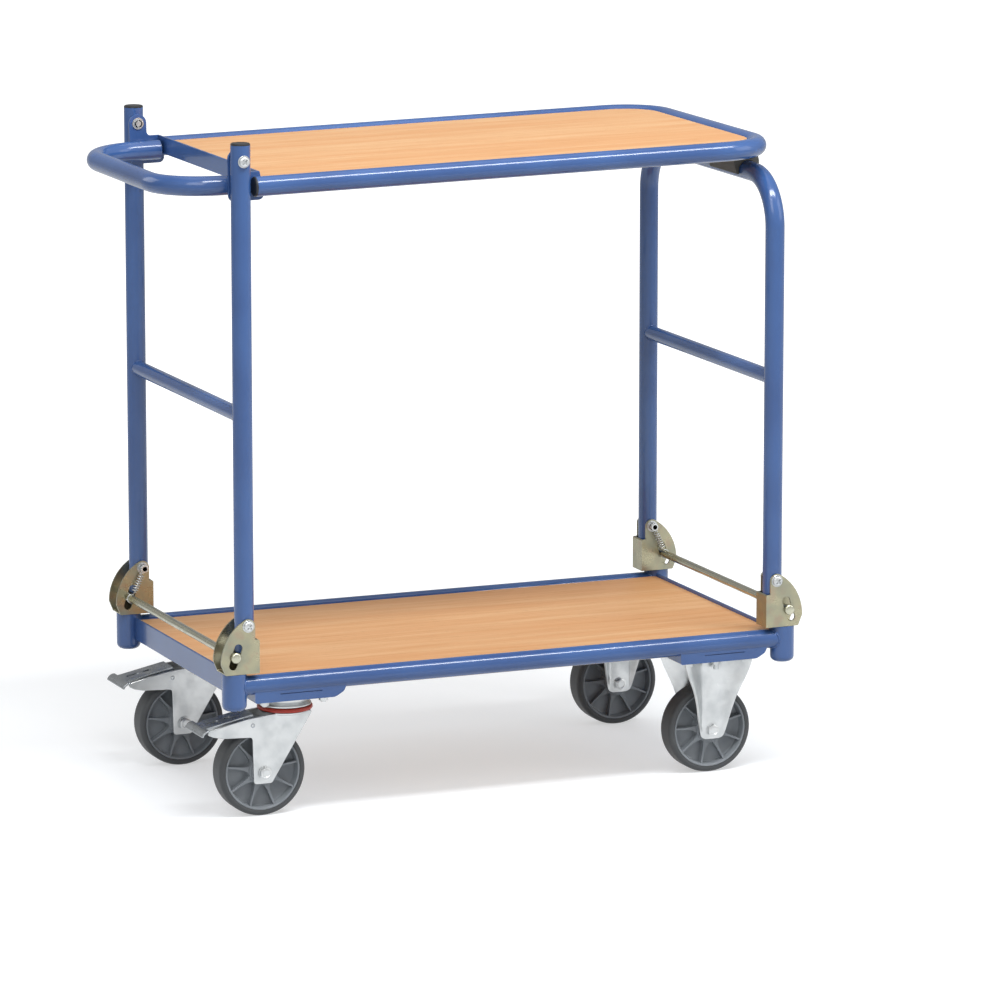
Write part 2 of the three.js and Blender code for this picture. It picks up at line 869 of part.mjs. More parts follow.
// The route of the upper deck's tube, from one open left end round to the other.
function deckRoute() {
  return new BentRoute(
    [
      vector(deckTubeStart, -pivotY, -deckDrop),
      vector(deckReach, -pivotY, -deckDrop),
      vector(deckReach, pivotY, -deckDrop),
      vector(deckTubeStart, pivotY, -deckDrop),
    ],
    bendRadius,
    bendSteps,
  );
}

// Places of the deck's outline along its tube, for pieces that are trimmed to the tube.
function deckOutline(start) {
  const corner = deckReach - bendRadius;
  const edge = pivotY - bendRadius;
  return [
    point(start, -pivotY),
    ...arcPoints(corner, -edge, bendRadius, -Math.PI / 2, 0, bendSteps),
    ...arcPoints(corner, edge, bendRadius, 0, Math.PI / 2, bendSteps),
    point(start, pivotY),
  ];
}

function deckPanel(tubeRoom, lugRoom) {
  const start = deckBarStart + deckBarThickness + gap;
  const panel = plateXY(deckOutline(start), panelThickness).translate(0, 0, deckTopZ - panelThickness);
  return cut(panel, tubeRoom, ...lugRoom);
}

function deckEndBar() {
  return block(
    deckBarStart,
    deckBarStart + deckBarThickness,
    gap - lugInner,
    lugInner - gap,
    -lugShoulder - deckBarHeight,
    -lugShoulder,
  );
}

function deckSlat(place, tubeRoom) {
  const top = deckTopZ - panelThickness - gap;
  const slat = block(
    place - slatWidth / 2,
    place + slatWidth / 2,
    -pivotY,
    pivotY,
    top - slatThickness,
    top,
  );
  return cut(slat, tubeRoom);
}

// The L-shaped plate that carries the deck and the handle on the pivot.
function deckLugOutline(radius) {
  const right = Math.PI / 2;
  return [
    ...arcPoints(0, 0, radius, right * 2, 0).reverse(),
    point(-radius, lugCorner - lugDrop),
    ...arcPoints(lugCorner - radius, lugCorner - lugDrop, lugCorner, right * 2, right * 3, 2).slice(1),
    ...arcPoints(lugReach - lugCorner, lugCorner - lugDrop, lugCorner, right * 3, right * 4, 2),
    point(deckBarStart + deckBarThickness, -lugShoulder),
    point(radius, -lugShoulder),
  ];
}

function deckLug() {
  const plate = plateXZ(deckLugOutline(lugRadius), lugThickness);
  return cut(plate, rodY(holeRadius, -overrun, overrun));
}

function deckHandle() {
  const route = new BentRoute(
    [
      vector(handleStart, -handleY, -deckDrop),
      vector(-handleReach, -handleY, -deckDrop),
      vector(-handleReach, handleY, -deckDrop),
      vector(handleStart, handleY, -deckDrop),
    ],
    handleBend,
    bendSteps,
  );
  return tubeAlong(route, tubeRadius, tubeWall);
}

// A point of the fixed frame, given from the deck's pivot, as the tilted deck sees it.
function seenFromDeck(x, z) {
  const angle = degrees(deckTilt);
  return point(x * Math.cos(angle) + z * Math.sin(angle), z * Math.cos(angle) - x * Math.sin(angle));
}

// A plastic saddle below the deck's end tube, with two horns that grip the crossbar.
function snapClip() {
  const bar = seenFromDeck(2 * pivotX, crossbarHeight - topPivotHeight);
  const half = tubeRadius + clipWall;
  const top = deckTopZ - panelThickness - gap;
  const waist = (bar.y - deckDrop) / 2;
  const outline = [
    point(deckReach - half, top),
    point(deckReach - half, waist),
    point(bar.x - half, bar.y),
    point(bar.x - half - clipWall / 2, bar.y - clipHorn),
    point(bar.x + half + clipWall / 2, bar.y - clipHorn),
    point(bar.x + half, bar.y),
    point(deckReach + half, waist),
    point(deckReach + half, top),
  ];
  const saddle = plateXZ(outline, clipLength);
  const tube = rodY(tubeRadius + gap, -clipLength, clipLength, tubeSides * 2);
  const crossbar = rodY(tubeRadius + 2 * runningGap, -clipLength, clipLength, tubeSides * 2);
  const mouth = block(
    bar.x - tubeRadius,
    bar.x + tubeRadius,
    -clipLength,
    clipLength,
    bar.y - clipHorn - overrun,
    bar.y,
  );
  return cut(
    saddle,
    tube.translate(deckReach, 0, -deckDrop),
    crossbar.translate(bar.x, 0, bar.y),
    mouth,
  );
}

function upperDeck() {
  const tubeRoom = tubeAlong(deckRoute(), tubeRadius + gap);
  const lugRoom = rows.map(({ side }) => {
    const room = plateXZ(deckLugOutline(lugRadius + gap), lugThickness + 2 * gap);
    return room.scale(1 + gap / lugReach, 1, 1).translate(0, side * (lugOuter - lugThickness / 2), 0);
  });
  const pieces = [
    named("deck_tube", tubeAlong(deckRoute(), tubeRadius, tubeWall), "paint"),
    named("deck_panel", deckPanel(tubeRoom, lugRoom), "beech"),
    named("deck_end_bar", deckEndBar(), "paint"),
    named("deck_handle", deckHandle(), "paint"),
  ];
  slatShares.forEach((share, i) => {
    const slat = cut(deckSlat(share * deckReach, tubeRoom), ...lugRoom);
    pieces.push(named(`deck_slat_${i + 1}`, slat, "paint"));
  });
  for (const { row, side } of rows) {
    const lug = named(`deck_lug_${row}`, deckLug(), "paint");
    lug.position.y = side * (lugOuter - lugThickness / 2);
    const plug = named(`deck_plug_${row}`, plugZ().rotateY(-Math.PI / 2), "blackPlastic");
    plug.position.set(deckTubeStart, side * pivotY, -deckDrop);
    const clip = named(`snap_clip_${row}`, snapClip(), "clipRubber");
    clip.position.y = side * clipPlace;
    pieces.push(lug, plug, clip);
  }
  const deck = group(-pivotX, 0, topPivotHeight, ...pieces);
  deck.rotation.y = -degrees(deckTilt);
  return deck;
}

// A solid rubber tyre whose flats, not corners, lie on its radius.
function tyre() {
  const half = wheelWidth / 2;
  const inner = wheelRadius - tyreDepth;
  const spread = 1 / Math.cos(Math.PI / wheelSides);
  const profile = [
    [inner, -half],
    [wheelRadius - tyreShoulder / 2, -half],
    [wheelRadius, tyreShoulder - half],
    [wheelRadius, half - tyreShoulder],
    [wheelRadius - tyreShoulder / 2, half],
    [inner, half],
    [inner, -half],
  ];
  return turnedY(
    profile.map(([r, y]) => [r * spread, y]),
    wheelSides,
    Math.PI / wheelSides,
  );
}

// A plastic wheel body: hub, web and rim turned in one, with ribs on both faces.
function wheelCore() {
  const spread = 1 / Math.cos(Math.PI / wheelSides);
  const rimOuter = (wheelRadius - tyreDepth - gap) * spread;
  const rimInner = rimOuter - rimDepth;
  const halfHub = hubLength / 2;
  const halfRim = rimWidth / 2;
  const body = turnedY(
    [
      [boreRadius, -halfHub],
      [hubRadius, -halfHub],
      [hubRadius, -webHalf],
      [rimInner, -webHalf],
      [rimInner, -halfRim],
      [rimOuter, -halfRim],
      [rimOuter, halfRim],
      [rimInner, halfRim],
      [rimInner, webHalf],
      [hubRadius, webHalf],
      [hubRadius, halfHub],
      [boreRadius, halfHub],
      [boreRadius, -halfHub],
    ],
    wheelSides,
    Math.PI / wheelSides,
  );
  const spokes = Array.from({ length: spokeCount }, (_, i) => {
    const spoke = block(
      hubRadius - spokeWidth,
      rimInner + rimDepth / 2,
      -spokeHalf,
      spokeHalf,
      -spokeWidth / 2,
      spokeWidth / 2,
    );
    return spoke.rotateY((2 * Math.PI * i) / spokeCount);
  });
  return join(body, ...spokes);
}

// An axle bolt through both sides of a fork, with a head and a nut of six sides.
function axle() {
  const face = forkHalf + forkSheet + gap;
  const head = rodY(axleHeadRadius, face, face + axleHeadHeight, 6);
  const nut = rodY(axleHeadRadius, -face - axleHeadHeight, -face, 6);
  return join(rodY(axleRadius, -face - gap, face + gap), head, nut);
}

function wheelSet(name, x, y) {
  return group(
    x,
    y,
    axleRise,
    named(`${name}_tyre`, tyre(), "tyreRubber"),
    named(`${name}_rim`, wheelCore(), "rimPlastic"),
    named(`${name}_axle`, axle(), "zinc"),
  );
}

// The swivel fork: two sides whose arms carry the brake pedal, below a round crown that
// turns about the swivel axis.
function swivelFork() {
  const outline = swivelForkShares.map(([x, z]) => point(x * forkCrown, z * forkCrown));
  const side = plateXZ(outline, forkSheet);
  const middle = forkHalf + forkSheet / 2;
  const crown = rodZ(forkCrownRadius, forkCrown - forkCrownSheet, forkCrown, discSides);
  const bridge = block(
    -forkCrownRadius / 2,
    forkCrownRadius - forkCrownSheet,
    -forkHalf - forkSheet,
    forkHalf + forkSheet,
    forkCrown - forkCrownSheet,
    forkCrown,
  );
  const whole = join(
    side.clone().translate(0, -middle, 0),
    side.clone().translate(0, middle, 0),
    crown.translate(trail, 0, 0),
    bridge.translate(trail, 0, 0),
  );
  const reach = forkHalf + forkSheet + overrun;
  const pinHole = rodY(pedalPinRadius + gap, -reach, reach);
  const kingHole = rodZ(kingPinRadius + runningGap, forkCrown - 2 * forkCrownSheet, forkCrown + overrun);
  return cut(
    whole,
    rodY(axleRadius + gap, -reach, reach),
    pinHole.translate(-pedalPivotReach, 0, pedalPivotRise),
    kingHole.translate(trail, 0, 0),
  );
}

// The brake pedal: a sloping plate above the fork's arms, with windows, two ears on a
// cross pin, and a wider tip for the foot.
function brakePedal() {
  const run = pedalReach - pedalPivotReach;
  const slope = Math.atan2(pedalRootRise - pedalTipRise, run);
  const length = run / Math.cos(slope);
  const half = pedalWidth / 2;
  const tipStart = pedalTipLength - length;
  const outline = [
    point(-length, -pedalTipWidth / 2 + pedalSheet),
    point(pedalSheet - length, -pedalTipWidth / 2),
    point(tipStart - pedalSheet, -pedalTipWidth / 2),
    point(tipStart, -half),
    point(pedalPinRadius, -half),
    point(pedalPinRadius, half),
    point(tipStart, half),
    point(tipStart - pedalSheet, pedalTipWidth / 2),
    point(pedalSheet - length, pedalTipWidth / 2),
    point(-length, pedalTipWidth / 2 - pedalSheet),
  ];
  const deck = plateXY(outline, pedalSheet);
  const window = block(
    tipStart - pedalSheet,
    tipStart - pedalSheet + pedalWindowLength,
    -pedalWindowWidth / 2,
    pedalWindowWidth / 2,
    -overrun,
    pedalSheet + overrun,
  );
  const plate = cut(deck, window).rotateY(slope).translate(-pedalPivotReach, 0, pedalRootRise);
  const earWidth = 2 * pedalPinRadius + pedalSheet;
  const ears = rows.map(({ side }) => {
    const inner = side * (half - pedalSheet);
    const outer = side * half;
    return block(
      -pedalPivotReach - earWidth,
      -pedalPivotReach + pedalPinRadius,
      Math.min(inner, outer),
      Math.max(inner, outer),
      pedalRootRise - pedalEarDrop,
      pedalRootRise + pedalSheet / 4,
    );
  });
  const pin = rodY(pedalPinRadius, -forkHalf - forkSheet, forkHalf + forkSheet);
  return join(plate, ...ears, pin.translate(-pedalPivotReach, 0, pedalPivotRise));
}

// The caster's fixed top: a plate under the channel, the ball race and the king pin.
function swivelTop() {
  const halfX = topPlateLength / 2;
  const halfY = topPlateWidth / 2;
  const plate = block(-halfX, halfX, -halfY, halfY, topPlateFloor, topPlateTop);
  const race = turnedZ(
    [
      [0, crownTop - kingPinReach],
      [kingPinRadius, crownTop - kingPinReach],
      [kingPinRadius, raceFloor],
      [sealInner - gap, raceFloor],
      [sealInner - gap, sealTop + gap],
      [raceRadius, sealTop + gap],
      [raceRadius, topPlateFloor + topPlateSheet / 2],
      [0, topPlateFloor + topPlateSheet / 2],
    ],
    discSides,
  );
  return join(plate, race);
}

function dustSeal() {
  return turnedZ(
    [
      [sealInner, raceFloor],
      [sealOuter - sealHeight / 4, raceFloor],
      [sealOuter, raceFloor + sealHeight / 4],
      [sealOuter, sealTop - sealHeight / 4],
      [sealOuter - sealHeight / 4, sealTop],
      [sealInner, sealTop],
      [sealInner, raceFloor],
    ],
    discSides,
  );
}

function swivelCaster(row, side) {
  const fork = named(`swivel_fork_${row}`, swivelFork(), "zinc");
  const pedal = named(`brake_pedal_${row}`, brakePedal(), "pedalSteel");
  return group(
    -casterX,
    side * wheelY,
    0,
    named(`swivel_top_${row}`, swivelTop(), "zinc"),
    named(`dust_seal_${row}`, dustSeal(), "redSeal"),
    group(-trail, 0, axleRise, fork, pedal),
    wheelSet(`swivel_${row}`, -trail, 0),
  );
}

// A sheet pressed outwards along Y from a grid of points, its rows going up and their points
// going right, as a closed solid of one thickness.
function pressedSheet(grid, thickness) {
  const across = grid[0].length;
  const outer = grid.flat();
  const inner = outer.map((p) => p.clone().setY(p.y - thickness));
  const faces = [];
  const quad = (a, b, c, d) => faces.push(a, b, c, a, c, d);
  const count = outer.length;
  for (let row = 1; row < grid.length; row++) {
    const low = (row - 1) * across;
    const high = row * across;
    const last = across - 1;
    for (let i = 1; i < across; i++) {
      quad(low + i - 1, high + i - 1, high + i, low + i);
      quad(count + low + i, count + high + i, count + high + i - 1, count + low + i - 1);
    }
    quad(low, count + low, count + high, high);
    quad(low + last, high + last, count + high + last, count + low + last);
  }
  const top = (grid.length - 1) * across;
  for (let i = 1; i < across; i++) {
    quad(i - 1, i, count + i, count + i - 1);
    quad(top + i, top + i - 1, count + top + i - 1, count + top + i);
  }
  const sheet = new THREE.BufferGeometry().setFromPoints([...outer, ...inner]);
  return sheet.setIndex(faces);
}

// A fixed fork: two sides under a bolted flange, each with a flat column close to the wheel
// and two wings that flare outwards towards the flange.
function fixedFork() {
  const flangeFloor = topPlateFloor - axleRise;
  const column = forkColumnShare * forkColumnFootShare * wheelRadius;
  const face = forkHalf + forkSheet;
  const last = fixedForkShares.length - 1;
  const grid = fixedForkShares.map(([rise, half, out], i) => {
    const z = i === last ? flangeFloor + topPlateSheet / 2 : rise * wheelRadius;
    const wing = half * wheelRadius;
    const flat = Math.min(column, wing / 2);
    const edge = out * wheelRadius;
    return [vector(-wing, edge, z), vector(-flat, face, z), vector(flat, face, z), vector(wing, edge, z)];
  });
  const side = pressedSheet(grid, forkSheet);
  const flange = block(
    -topPlateLength / 2,
    topPlateLength / 2,
    -topPlateWidth / 2,
    topPlateWidth / 2,
    flangeFloor,
    topPlateTop - axleRise,
  );
  const whole = join(side, side.clone().rotateZ(Math.PI), flange);
  const reach = face + overrun;
  return cut(whole, rodY(axleRadius + gap, -reach, reach));
}

function fixedCaster(row, side) {
  const fork = named(`fixed_fork_${row}`, fixedFork(), "zinc");
  return group(
    casterX,
    side * wheelY,
    0,
    group(0, 0, axleRise, fork),
    wheelSet(`fixed_${row}`, 0, 0),
  );
}

// The whole trolley, moved so that its box is centred over the origin
const handleLean = degrees(deckTilt);
const handleRun = handleReach * Math.cos(handleLean) - deckDrop * Math.sin(handleLean);
const handleEdge = pivotX + handleRun + tubeRadius;
const bracketEdge = pivotX - sweepInward + sweepRadius;
const trolley = new THREE.Group();
const assembly = group(
  (handleEdge - bracketEdge) / 2,
  0,
  0,
  named("chassis_frame", chassisFrame(), "paint"),
  named("lower_panel", lowerPanel(), "beech"),
  ...hingeCorners(),
  ...lockRods(),
  leftFrame(),
  rightFrame(),
  upperDeck(),
  ...rows.map(({ row, side }) => swivelCaster(row, side)),
  ...rows.map(({ row, side }) => fixedCaster(row, side)),
);
trolley.add(assembly);
console.log(`least gap between the turns of a lock spring: ${Math.min(...springGaps).toFixed(2)} mm`);

export default trolley;
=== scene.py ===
"""Folding serving trolley: tube frame, two beech decks, hinge brackets and casters.

Pieces are modelled in millimetres around the middle of the lower deck, then scaled to
metres and moved into the record's frame when they are handed over.
"""

from __future__ import annotations

import logging
import math
from contextlib import contextmanager
from dataclasses import dataclass
from enum import Enum
from typing import Callable, Generic, Iterator, Sequence, TypeVar

import bmesh
import bpy
from mathutils import Matrix, Vector

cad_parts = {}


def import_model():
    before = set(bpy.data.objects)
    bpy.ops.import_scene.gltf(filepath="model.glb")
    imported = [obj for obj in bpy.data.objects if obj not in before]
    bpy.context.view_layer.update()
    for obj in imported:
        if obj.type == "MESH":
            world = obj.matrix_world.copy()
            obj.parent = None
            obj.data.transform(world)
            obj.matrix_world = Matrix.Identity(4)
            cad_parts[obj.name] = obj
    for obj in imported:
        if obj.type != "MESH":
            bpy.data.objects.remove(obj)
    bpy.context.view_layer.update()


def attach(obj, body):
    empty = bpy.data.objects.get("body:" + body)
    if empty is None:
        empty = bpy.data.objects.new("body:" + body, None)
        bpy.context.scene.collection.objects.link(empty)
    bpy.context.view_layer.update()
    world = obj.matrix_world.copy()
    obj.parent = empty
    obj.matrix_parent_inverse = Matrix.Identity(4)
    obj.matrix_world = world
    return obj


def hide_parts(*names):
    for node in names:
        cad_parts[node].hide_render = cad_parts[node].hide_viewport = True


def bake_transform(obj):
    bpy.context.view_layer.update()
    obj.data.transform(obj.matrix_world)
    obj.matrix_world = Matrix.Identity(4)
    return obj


LOG = logging.getLogger("trolley")

MM = 0.001
SHIFT = 31.7468  # the overall box is centred this far left of the lower deck's middle
MERGE = 0.0005  # millimetres within which two vertices are one
SMOOTH = 38.0  # degrees below which an edge is shaded smooth
TUBE_SIDES = 40  # faces round a tube
BEND_STEP = 6  # degrees of a tube's bend per ring of faces

Flat = tuple[float, float]
Solid = tuple[float, float, float]
Piece = bpy.types.Object
Places = dict[str, Matrix]
Route = Sequence[tuple[float, ...]]
Sizes = TypeVar("Sizes")

ALONG, ACROSS, UP = Vector((1, 0, 0)), Vector((0, 1, 0)), Vector((0, 0, 1))
MIRRORED = Matrix.Diagonal((1, -1, 1, 1))  # from the far side to the near one
HALF_TURN = Matrix.Rotation(math.pi, 4, "Z")


class Plane(Enum):
    """Plane that a flat outline is drawn in."""

    XY = "xy"
    XZ = "xz"

    def point(self, spot: Flat, height: float) -> Solid:
        """A place of the plane, at a height on the third axis."""
        return (*spot, height) if self is Plane.XY else (spot[0], height, spot[1])


class Side(Enum):
    """One of two opposite sides, with the sign of its axis."""

    @property
    def word(self) -> str:
        """Name of the side as the nodes write it."""
        return self.name.lower()


class Row(Side):
    """Near and far side of the trolley, with the sign of Y."""

    NEAR = -1
    FAR = 1


class End(Side):
    """Left and right end of the trolley, with the sign of X."""

    LEFT = -1
    RIGHT = 1


def linear(code: str) -> tuple[float, float, float, float]:
    """Turns a screen colour into shader values.

    Args:
        code: Six hexadecimal digits.

    Returns:
        Red, green, blue and alpha, scene linear.
    """
    shares = [int(code[i : i + 2], 16) / 255 for i in (0, 2, 4)]
    bent = [s / 12.92 if s <= 0.04045 else ((s + 0.055) / 1.055) ** 2.4 for s in shares]
    return (bent[0], bent[1], bent[2], 1.0)


def arithmetic(operation: str, flipped: bool = False) -> Callable[[Signal, Signal | float], Signal]:
    """A method that adds one Math node.

    Args:
        operation: Name of the Math operation.
        flipped: Whether the other value comes first.

    Returns:
        The method, which takes the other value and hands back the node's result.
    """

    def method(self: Signal, other: Signal | float) -> Signal:
        """Adds the node for two values."""
        first, second = (other, self) if flipped else (self, other)
        return self.graph.node("ShaderNodeMath", {"operation": operation}, {0: first, 1: second})

    return method


class Signal:
    """A number or vector inside a material, with arithmetic that adds its nodes."""

    __add__, __radd__ = arithmetic("ADD"), arithmetic("ADD", True)
    __sub__, __rsub__ = arithmetic("SUBTRACT"), arithmetic("SUBTRACT", True)
    __mul__, __rmul__ = arithmetic("MULTIPLY"), arithmetic("MULTIPLY", True)

    def __init__(self, graph: Graph, socket: bpy.types.NodeSocket) -> None:
        """Keeps the socket and the graph it belongs to."""
        self.graph = graph
        self.socket = socket

    def between(self, low: float, high: float) -> Signal:
        """Share of the way from low to high, kept within 0 and 1."""
        settings = {"interpolation_type": "SMOOTHSTEP"}
        return self.graph.node("ShaderNodeMapRange", settings, {0: self, 1: low, 2: high})


class Graph:
    """The node tree of one material or world, built through node()."""

    def __init__(self, owner: bpy.types.Material | bpy.types.World) -> None:
        """Opens the owner's nodes and finds its shader and its object coordinates."""
        owner.use_nodes = True
        self.owner = owner
        self.tree = owner.node_tree
        self.shader = next(n for n in self.tree.nodes if n.type in ("BSDF_PRINCIPLED", "BACKGROUND"))
        self.place = self.node("ShaderNodeTexCoord", {}, {}, "Object")

    def node(
        self,
        kind: str,
        settings: dict[str, object],
        inputs: dict[int | str, object],
        output: int | str = 0,
    ) -> Signal:
        """Adds a node.

        Args:
            kind: The node's type.
            settings: Its options, set first.
            inputs: Values or signals for its sockets.
            output: Which result is handed back.

        Returns:
            The chosen output.
        """
        node = self.tree.nodes.new(kind)
        for key, value in settings.items():
            setattr(node, key, value)
        for key, value in inputs.items():
            if isinstance(value, Signal):
                self.tree.links.new(value.socket, node.inputs[key])
            else:
                node.inputs[key].default_value = value
        return Signal(self, node.outputs[output])

    def stretched(self, x: float, y: float, z: float, vector: Signal | None = None) -> Signal:
        """Coordinates scaled along each axis, the object's own if none are given."""
        inputs = {"Vector": vector or self.place, "Scale": (x, y, z)}
        return self.node("ShaderNodeMapping", {}, inputs)

    def ray(self, kind: str) -> Signal:
        """Whether a ray is of one kind, camera or glossy."""
        return self.node("ShaderNodeLightPath", {}, {}, f"Is {kind.title()} Ray")

    def across(self, vector: Signal) -> Signal:
        """The Y part of a vector."""
        return self.node("ShaderNodeSeparateXYZ", {}, {0: vector}, "Y")

    def noise(self, scale: float, detail: float, vector: Signal | None = None) -> Signal:
        """Soft noise.

        Args:
            scale: Waves per metre, or per unit of the vector.
            detail: Octaves of the noise.
            vector: Coordinates, the object's own if left out.

        Returns:
            The noise's value.
        """
        inputs = {"Vector": vector or self.place, "Scale": scale, "Detail": detail}
        return self.node("ShaderNodeTexNoise", {}, inputs)

    def blend(self, share: Signal | float, first: object, second: object) -> Signal:
        """Mixes two colours.

        Args:
            share: How much of the second colour.
            first: Colour or signal at 0.
            second: Colour or signal at 1.

        Returns:
            The mixed colour.
        """
        inputs = {0: share, 6: first, 7: second}
        return self.node("ShaderNodeMix", {"data_type": "RGBA"}, inputs, 2)

    def bump(self, height: Signal, strength: float, distance: float) -> None:
        """Joins a relief to the shader.

        Args:
            height: The relief.
            strength: Share of the full effect.
            distance: Depth of the relief in metres.
        """
        inputs = {"Height": height, "Strength": strength, "Distance": distance}
        self.feed("Normal", self.node("ShaderNodeBump", {}, inputs))

    def feed(self, name: str, value: Signal | float | tuple) -> None:
        """Sets or joins one of the shader's sockets.

        Args:
            name: The socket's name.
            value: A signal, or a plain value.
        """
        socket = self.shader.inputs[name]
        if isinstance(value, Signal):
            self.tree.links.new(value.socket, socket)
        else:
            socket.default_value = value


@dataclass(frozen=True)
class PaintFinish:
    """Smooth powder coat on steel, with a faint orange peel."""

    slot: str = "blue_paint"
    colour: str = "3b5d95"
    deep: str = "345389"
    roughness: float = 0.2
    specular: float = 0.35
    coat: float = 0.4
    coat_roughness: float = 0.06

    def paint(self, graph: Graph) -> None:
        """Builds the nodes of the finish."""
        drift = graph.noise(7.0, 2.0).between(0.35, 0.65)
        grains = graph.noise(900.0, 1.0)
        peel = graph.noise(420.0, 2.0)
        body = graph.blend(drift, linear(self.colour), linear(self.deep))
        specks = (grains - 0.5).between(0.1, 0.4) * 0.12
        graph.feed("Base Color", graph.blend(specks, body, linear(self.deep)))
        graph.feed("Roughness", self.roughness + 0.1 * (peel - 0.5))
        graph.feed("Specular IOR Level", self.specular)
        graph.feed("Coat Weight", self.coat)
        graph.feed("Coat Roughness", self.coat_roughness)
        graph.bump(peel, 0.12, 0.0004)


@dataclass(frozen=True)
class BeechFinish:
    """Beech-look board with its grain along X, satin lacquer and short dark flecks."""

    slot: str = "beech"
    light: str = "d5a97b"
    middle: str = "ce9968"
    dark: str = "bf8652"
    fleck: str = "a37147"
    roughness: float = 0.46
    specular: float = 0.3

    def paint(self, graph: Graph) -> None:
        """Builds the nodes of the finish."""
        sway = graph.noise(3.0, 1.0, graph.stretched(1.0, 2.0, 1.0))
        wander = graph.node(
            "ShaderNodeVectorMath",
            {"operation": "MULTIPLY_ADD"},
            {0: sway, 1: (0.0, 0.012, 0.0), 2: graph.place},
        )
        bands = graph.stretched(1.6, 34.0, 34.0, wander)
        fibres = graph.stretched(9.0, 420.0, 420.0, wander)
        pores = graph.stretched(70.0, 900.0, 900.0, wander)
        broad = graph.noise(1.0, 3.0, bands).between(0.32, 0.68)
        fine = graph.noise(1.0, 2.0, fibres)
        dots = graph.noise(1.0, 1.0, pores).between(0.66, 0.74)
        ground = graph.blend(broad, linear(self.light), linear(self.middle))
        streaked = graph.blend((fine - 0.35).between(0.05, 0.35) * 0.55, ground, linear(self.dark))
        graph.feed("Base Color", graph.blend(dots * 0.5, streaked, linear(self.fleck)))
        graph.feed("Roughness", self.roughness + 0.12 * (fine - 0.5))
        graph.feed("Specular IOR Level", self.specular)
        graph.bump(fine - dots * 0.5, 0.15, 0.0002)


@dataclass(frozen=True)
class PlatedFinish:
    """Zinc plated steel, clear or yellow, with soft cloudy tones."""

    slot: str
    colour: str
    cloud: str
    tint: str
    roughness: float = 0.34
    metal: float = 0.92
    tint_share: float = 0.35
    relief: float = 0.06

    def paint(self, graph: Graph) -> None:
        """Builds the nodes of the finish."""
        cloud = graph.noise(38.0, 3.0).between(0.35, 0.7)
        patch = graph.noise(85.0, 2.0).between(0.5, 0.75)
        rolled = graph.noise(1.0, 2.0, graph.stretched(60.0, 60.0, 700.0))
        base = graph.blend(cloud, linear(self.colour), linear(self.cloud))
        graph.feed("Base Color", graph.blend(patch * self.tint_share, base, linear(self.tint)))
        graph.feed("Metallic", self.metal)
        graph.feed("Roughness", self.roughness + 0.14 * (cloud - 0.5) + 0.08 * (rolled - 0.5))
        graph.bump(rolled + cloud * 0.6, self.relief, 0.0003)


@dataclass(frozen=True)
class MouldedFinish:
    """Moulded plastic or rubber with a fine skin."""

    slot: str
    colour: str
    worn: str
    roughness: float
    grain: float = 1400.0
    relief: float = 0.0002

    def paint(self, graph: Graph) -> None:
        """Builds the nodes of the finish."""
        skin = graph.noise(self.grain, 2.0)
        smudge = graph.noise(30.0, 3.0).between(0.4, 0.75)
        graph.feed("Base Color", graph.blend(smudge, linear(self.colour), linear(self.worn)))
        graph.feed("Roughness", self.roughness + 0.12 * (smudge - 0.5) + 0.06 * (skin - 0.5))
        graph.bump(skin, 0.2, self.relief)


Finish = PaintFinish | BeechFinish | PlatedFinish | MouldedFinish

PAINT = PaintFinish()
BEECH = BeechFinish()
YELLOW = PlatedFinish("yellow_zinc", "a39e84", "939381", "a08a78", 0.34, 0.9, 0.5)
LOCK = PlatedFinish("yellow_zinc", "bebca8", "aeae9c", "b8a48e", 0.24, 0.92, 0.3)
ZINC = PlatedFinish("bright_zinc", "cacccc", "bbbebf", "d3d5d5", 0.36)
PEDAL = PlatedFinish("pedal_steel", "a3a7aa", "989c9f", "acb0b3", 0.3, 0.9, 0.2, 0.015)
BLACK = MouldedFinish("black_plastic", "1b1c1f", "26272a", 0.42)
RUBBER = MouldedFinish("clip_rubber", "454440", "504f4a", 0.68, 900.0)
TYRE = MouldedFinish("tyre_rubber", "414345", "4b4d4e", 0.62, 700.0)
RIM = MouldedFinish("rim_plastic", "858a8f", "7a7f84", 0.45)
SEAL = MouldedFinish("red_seal", "b8301b", "a62a18", 0.36)


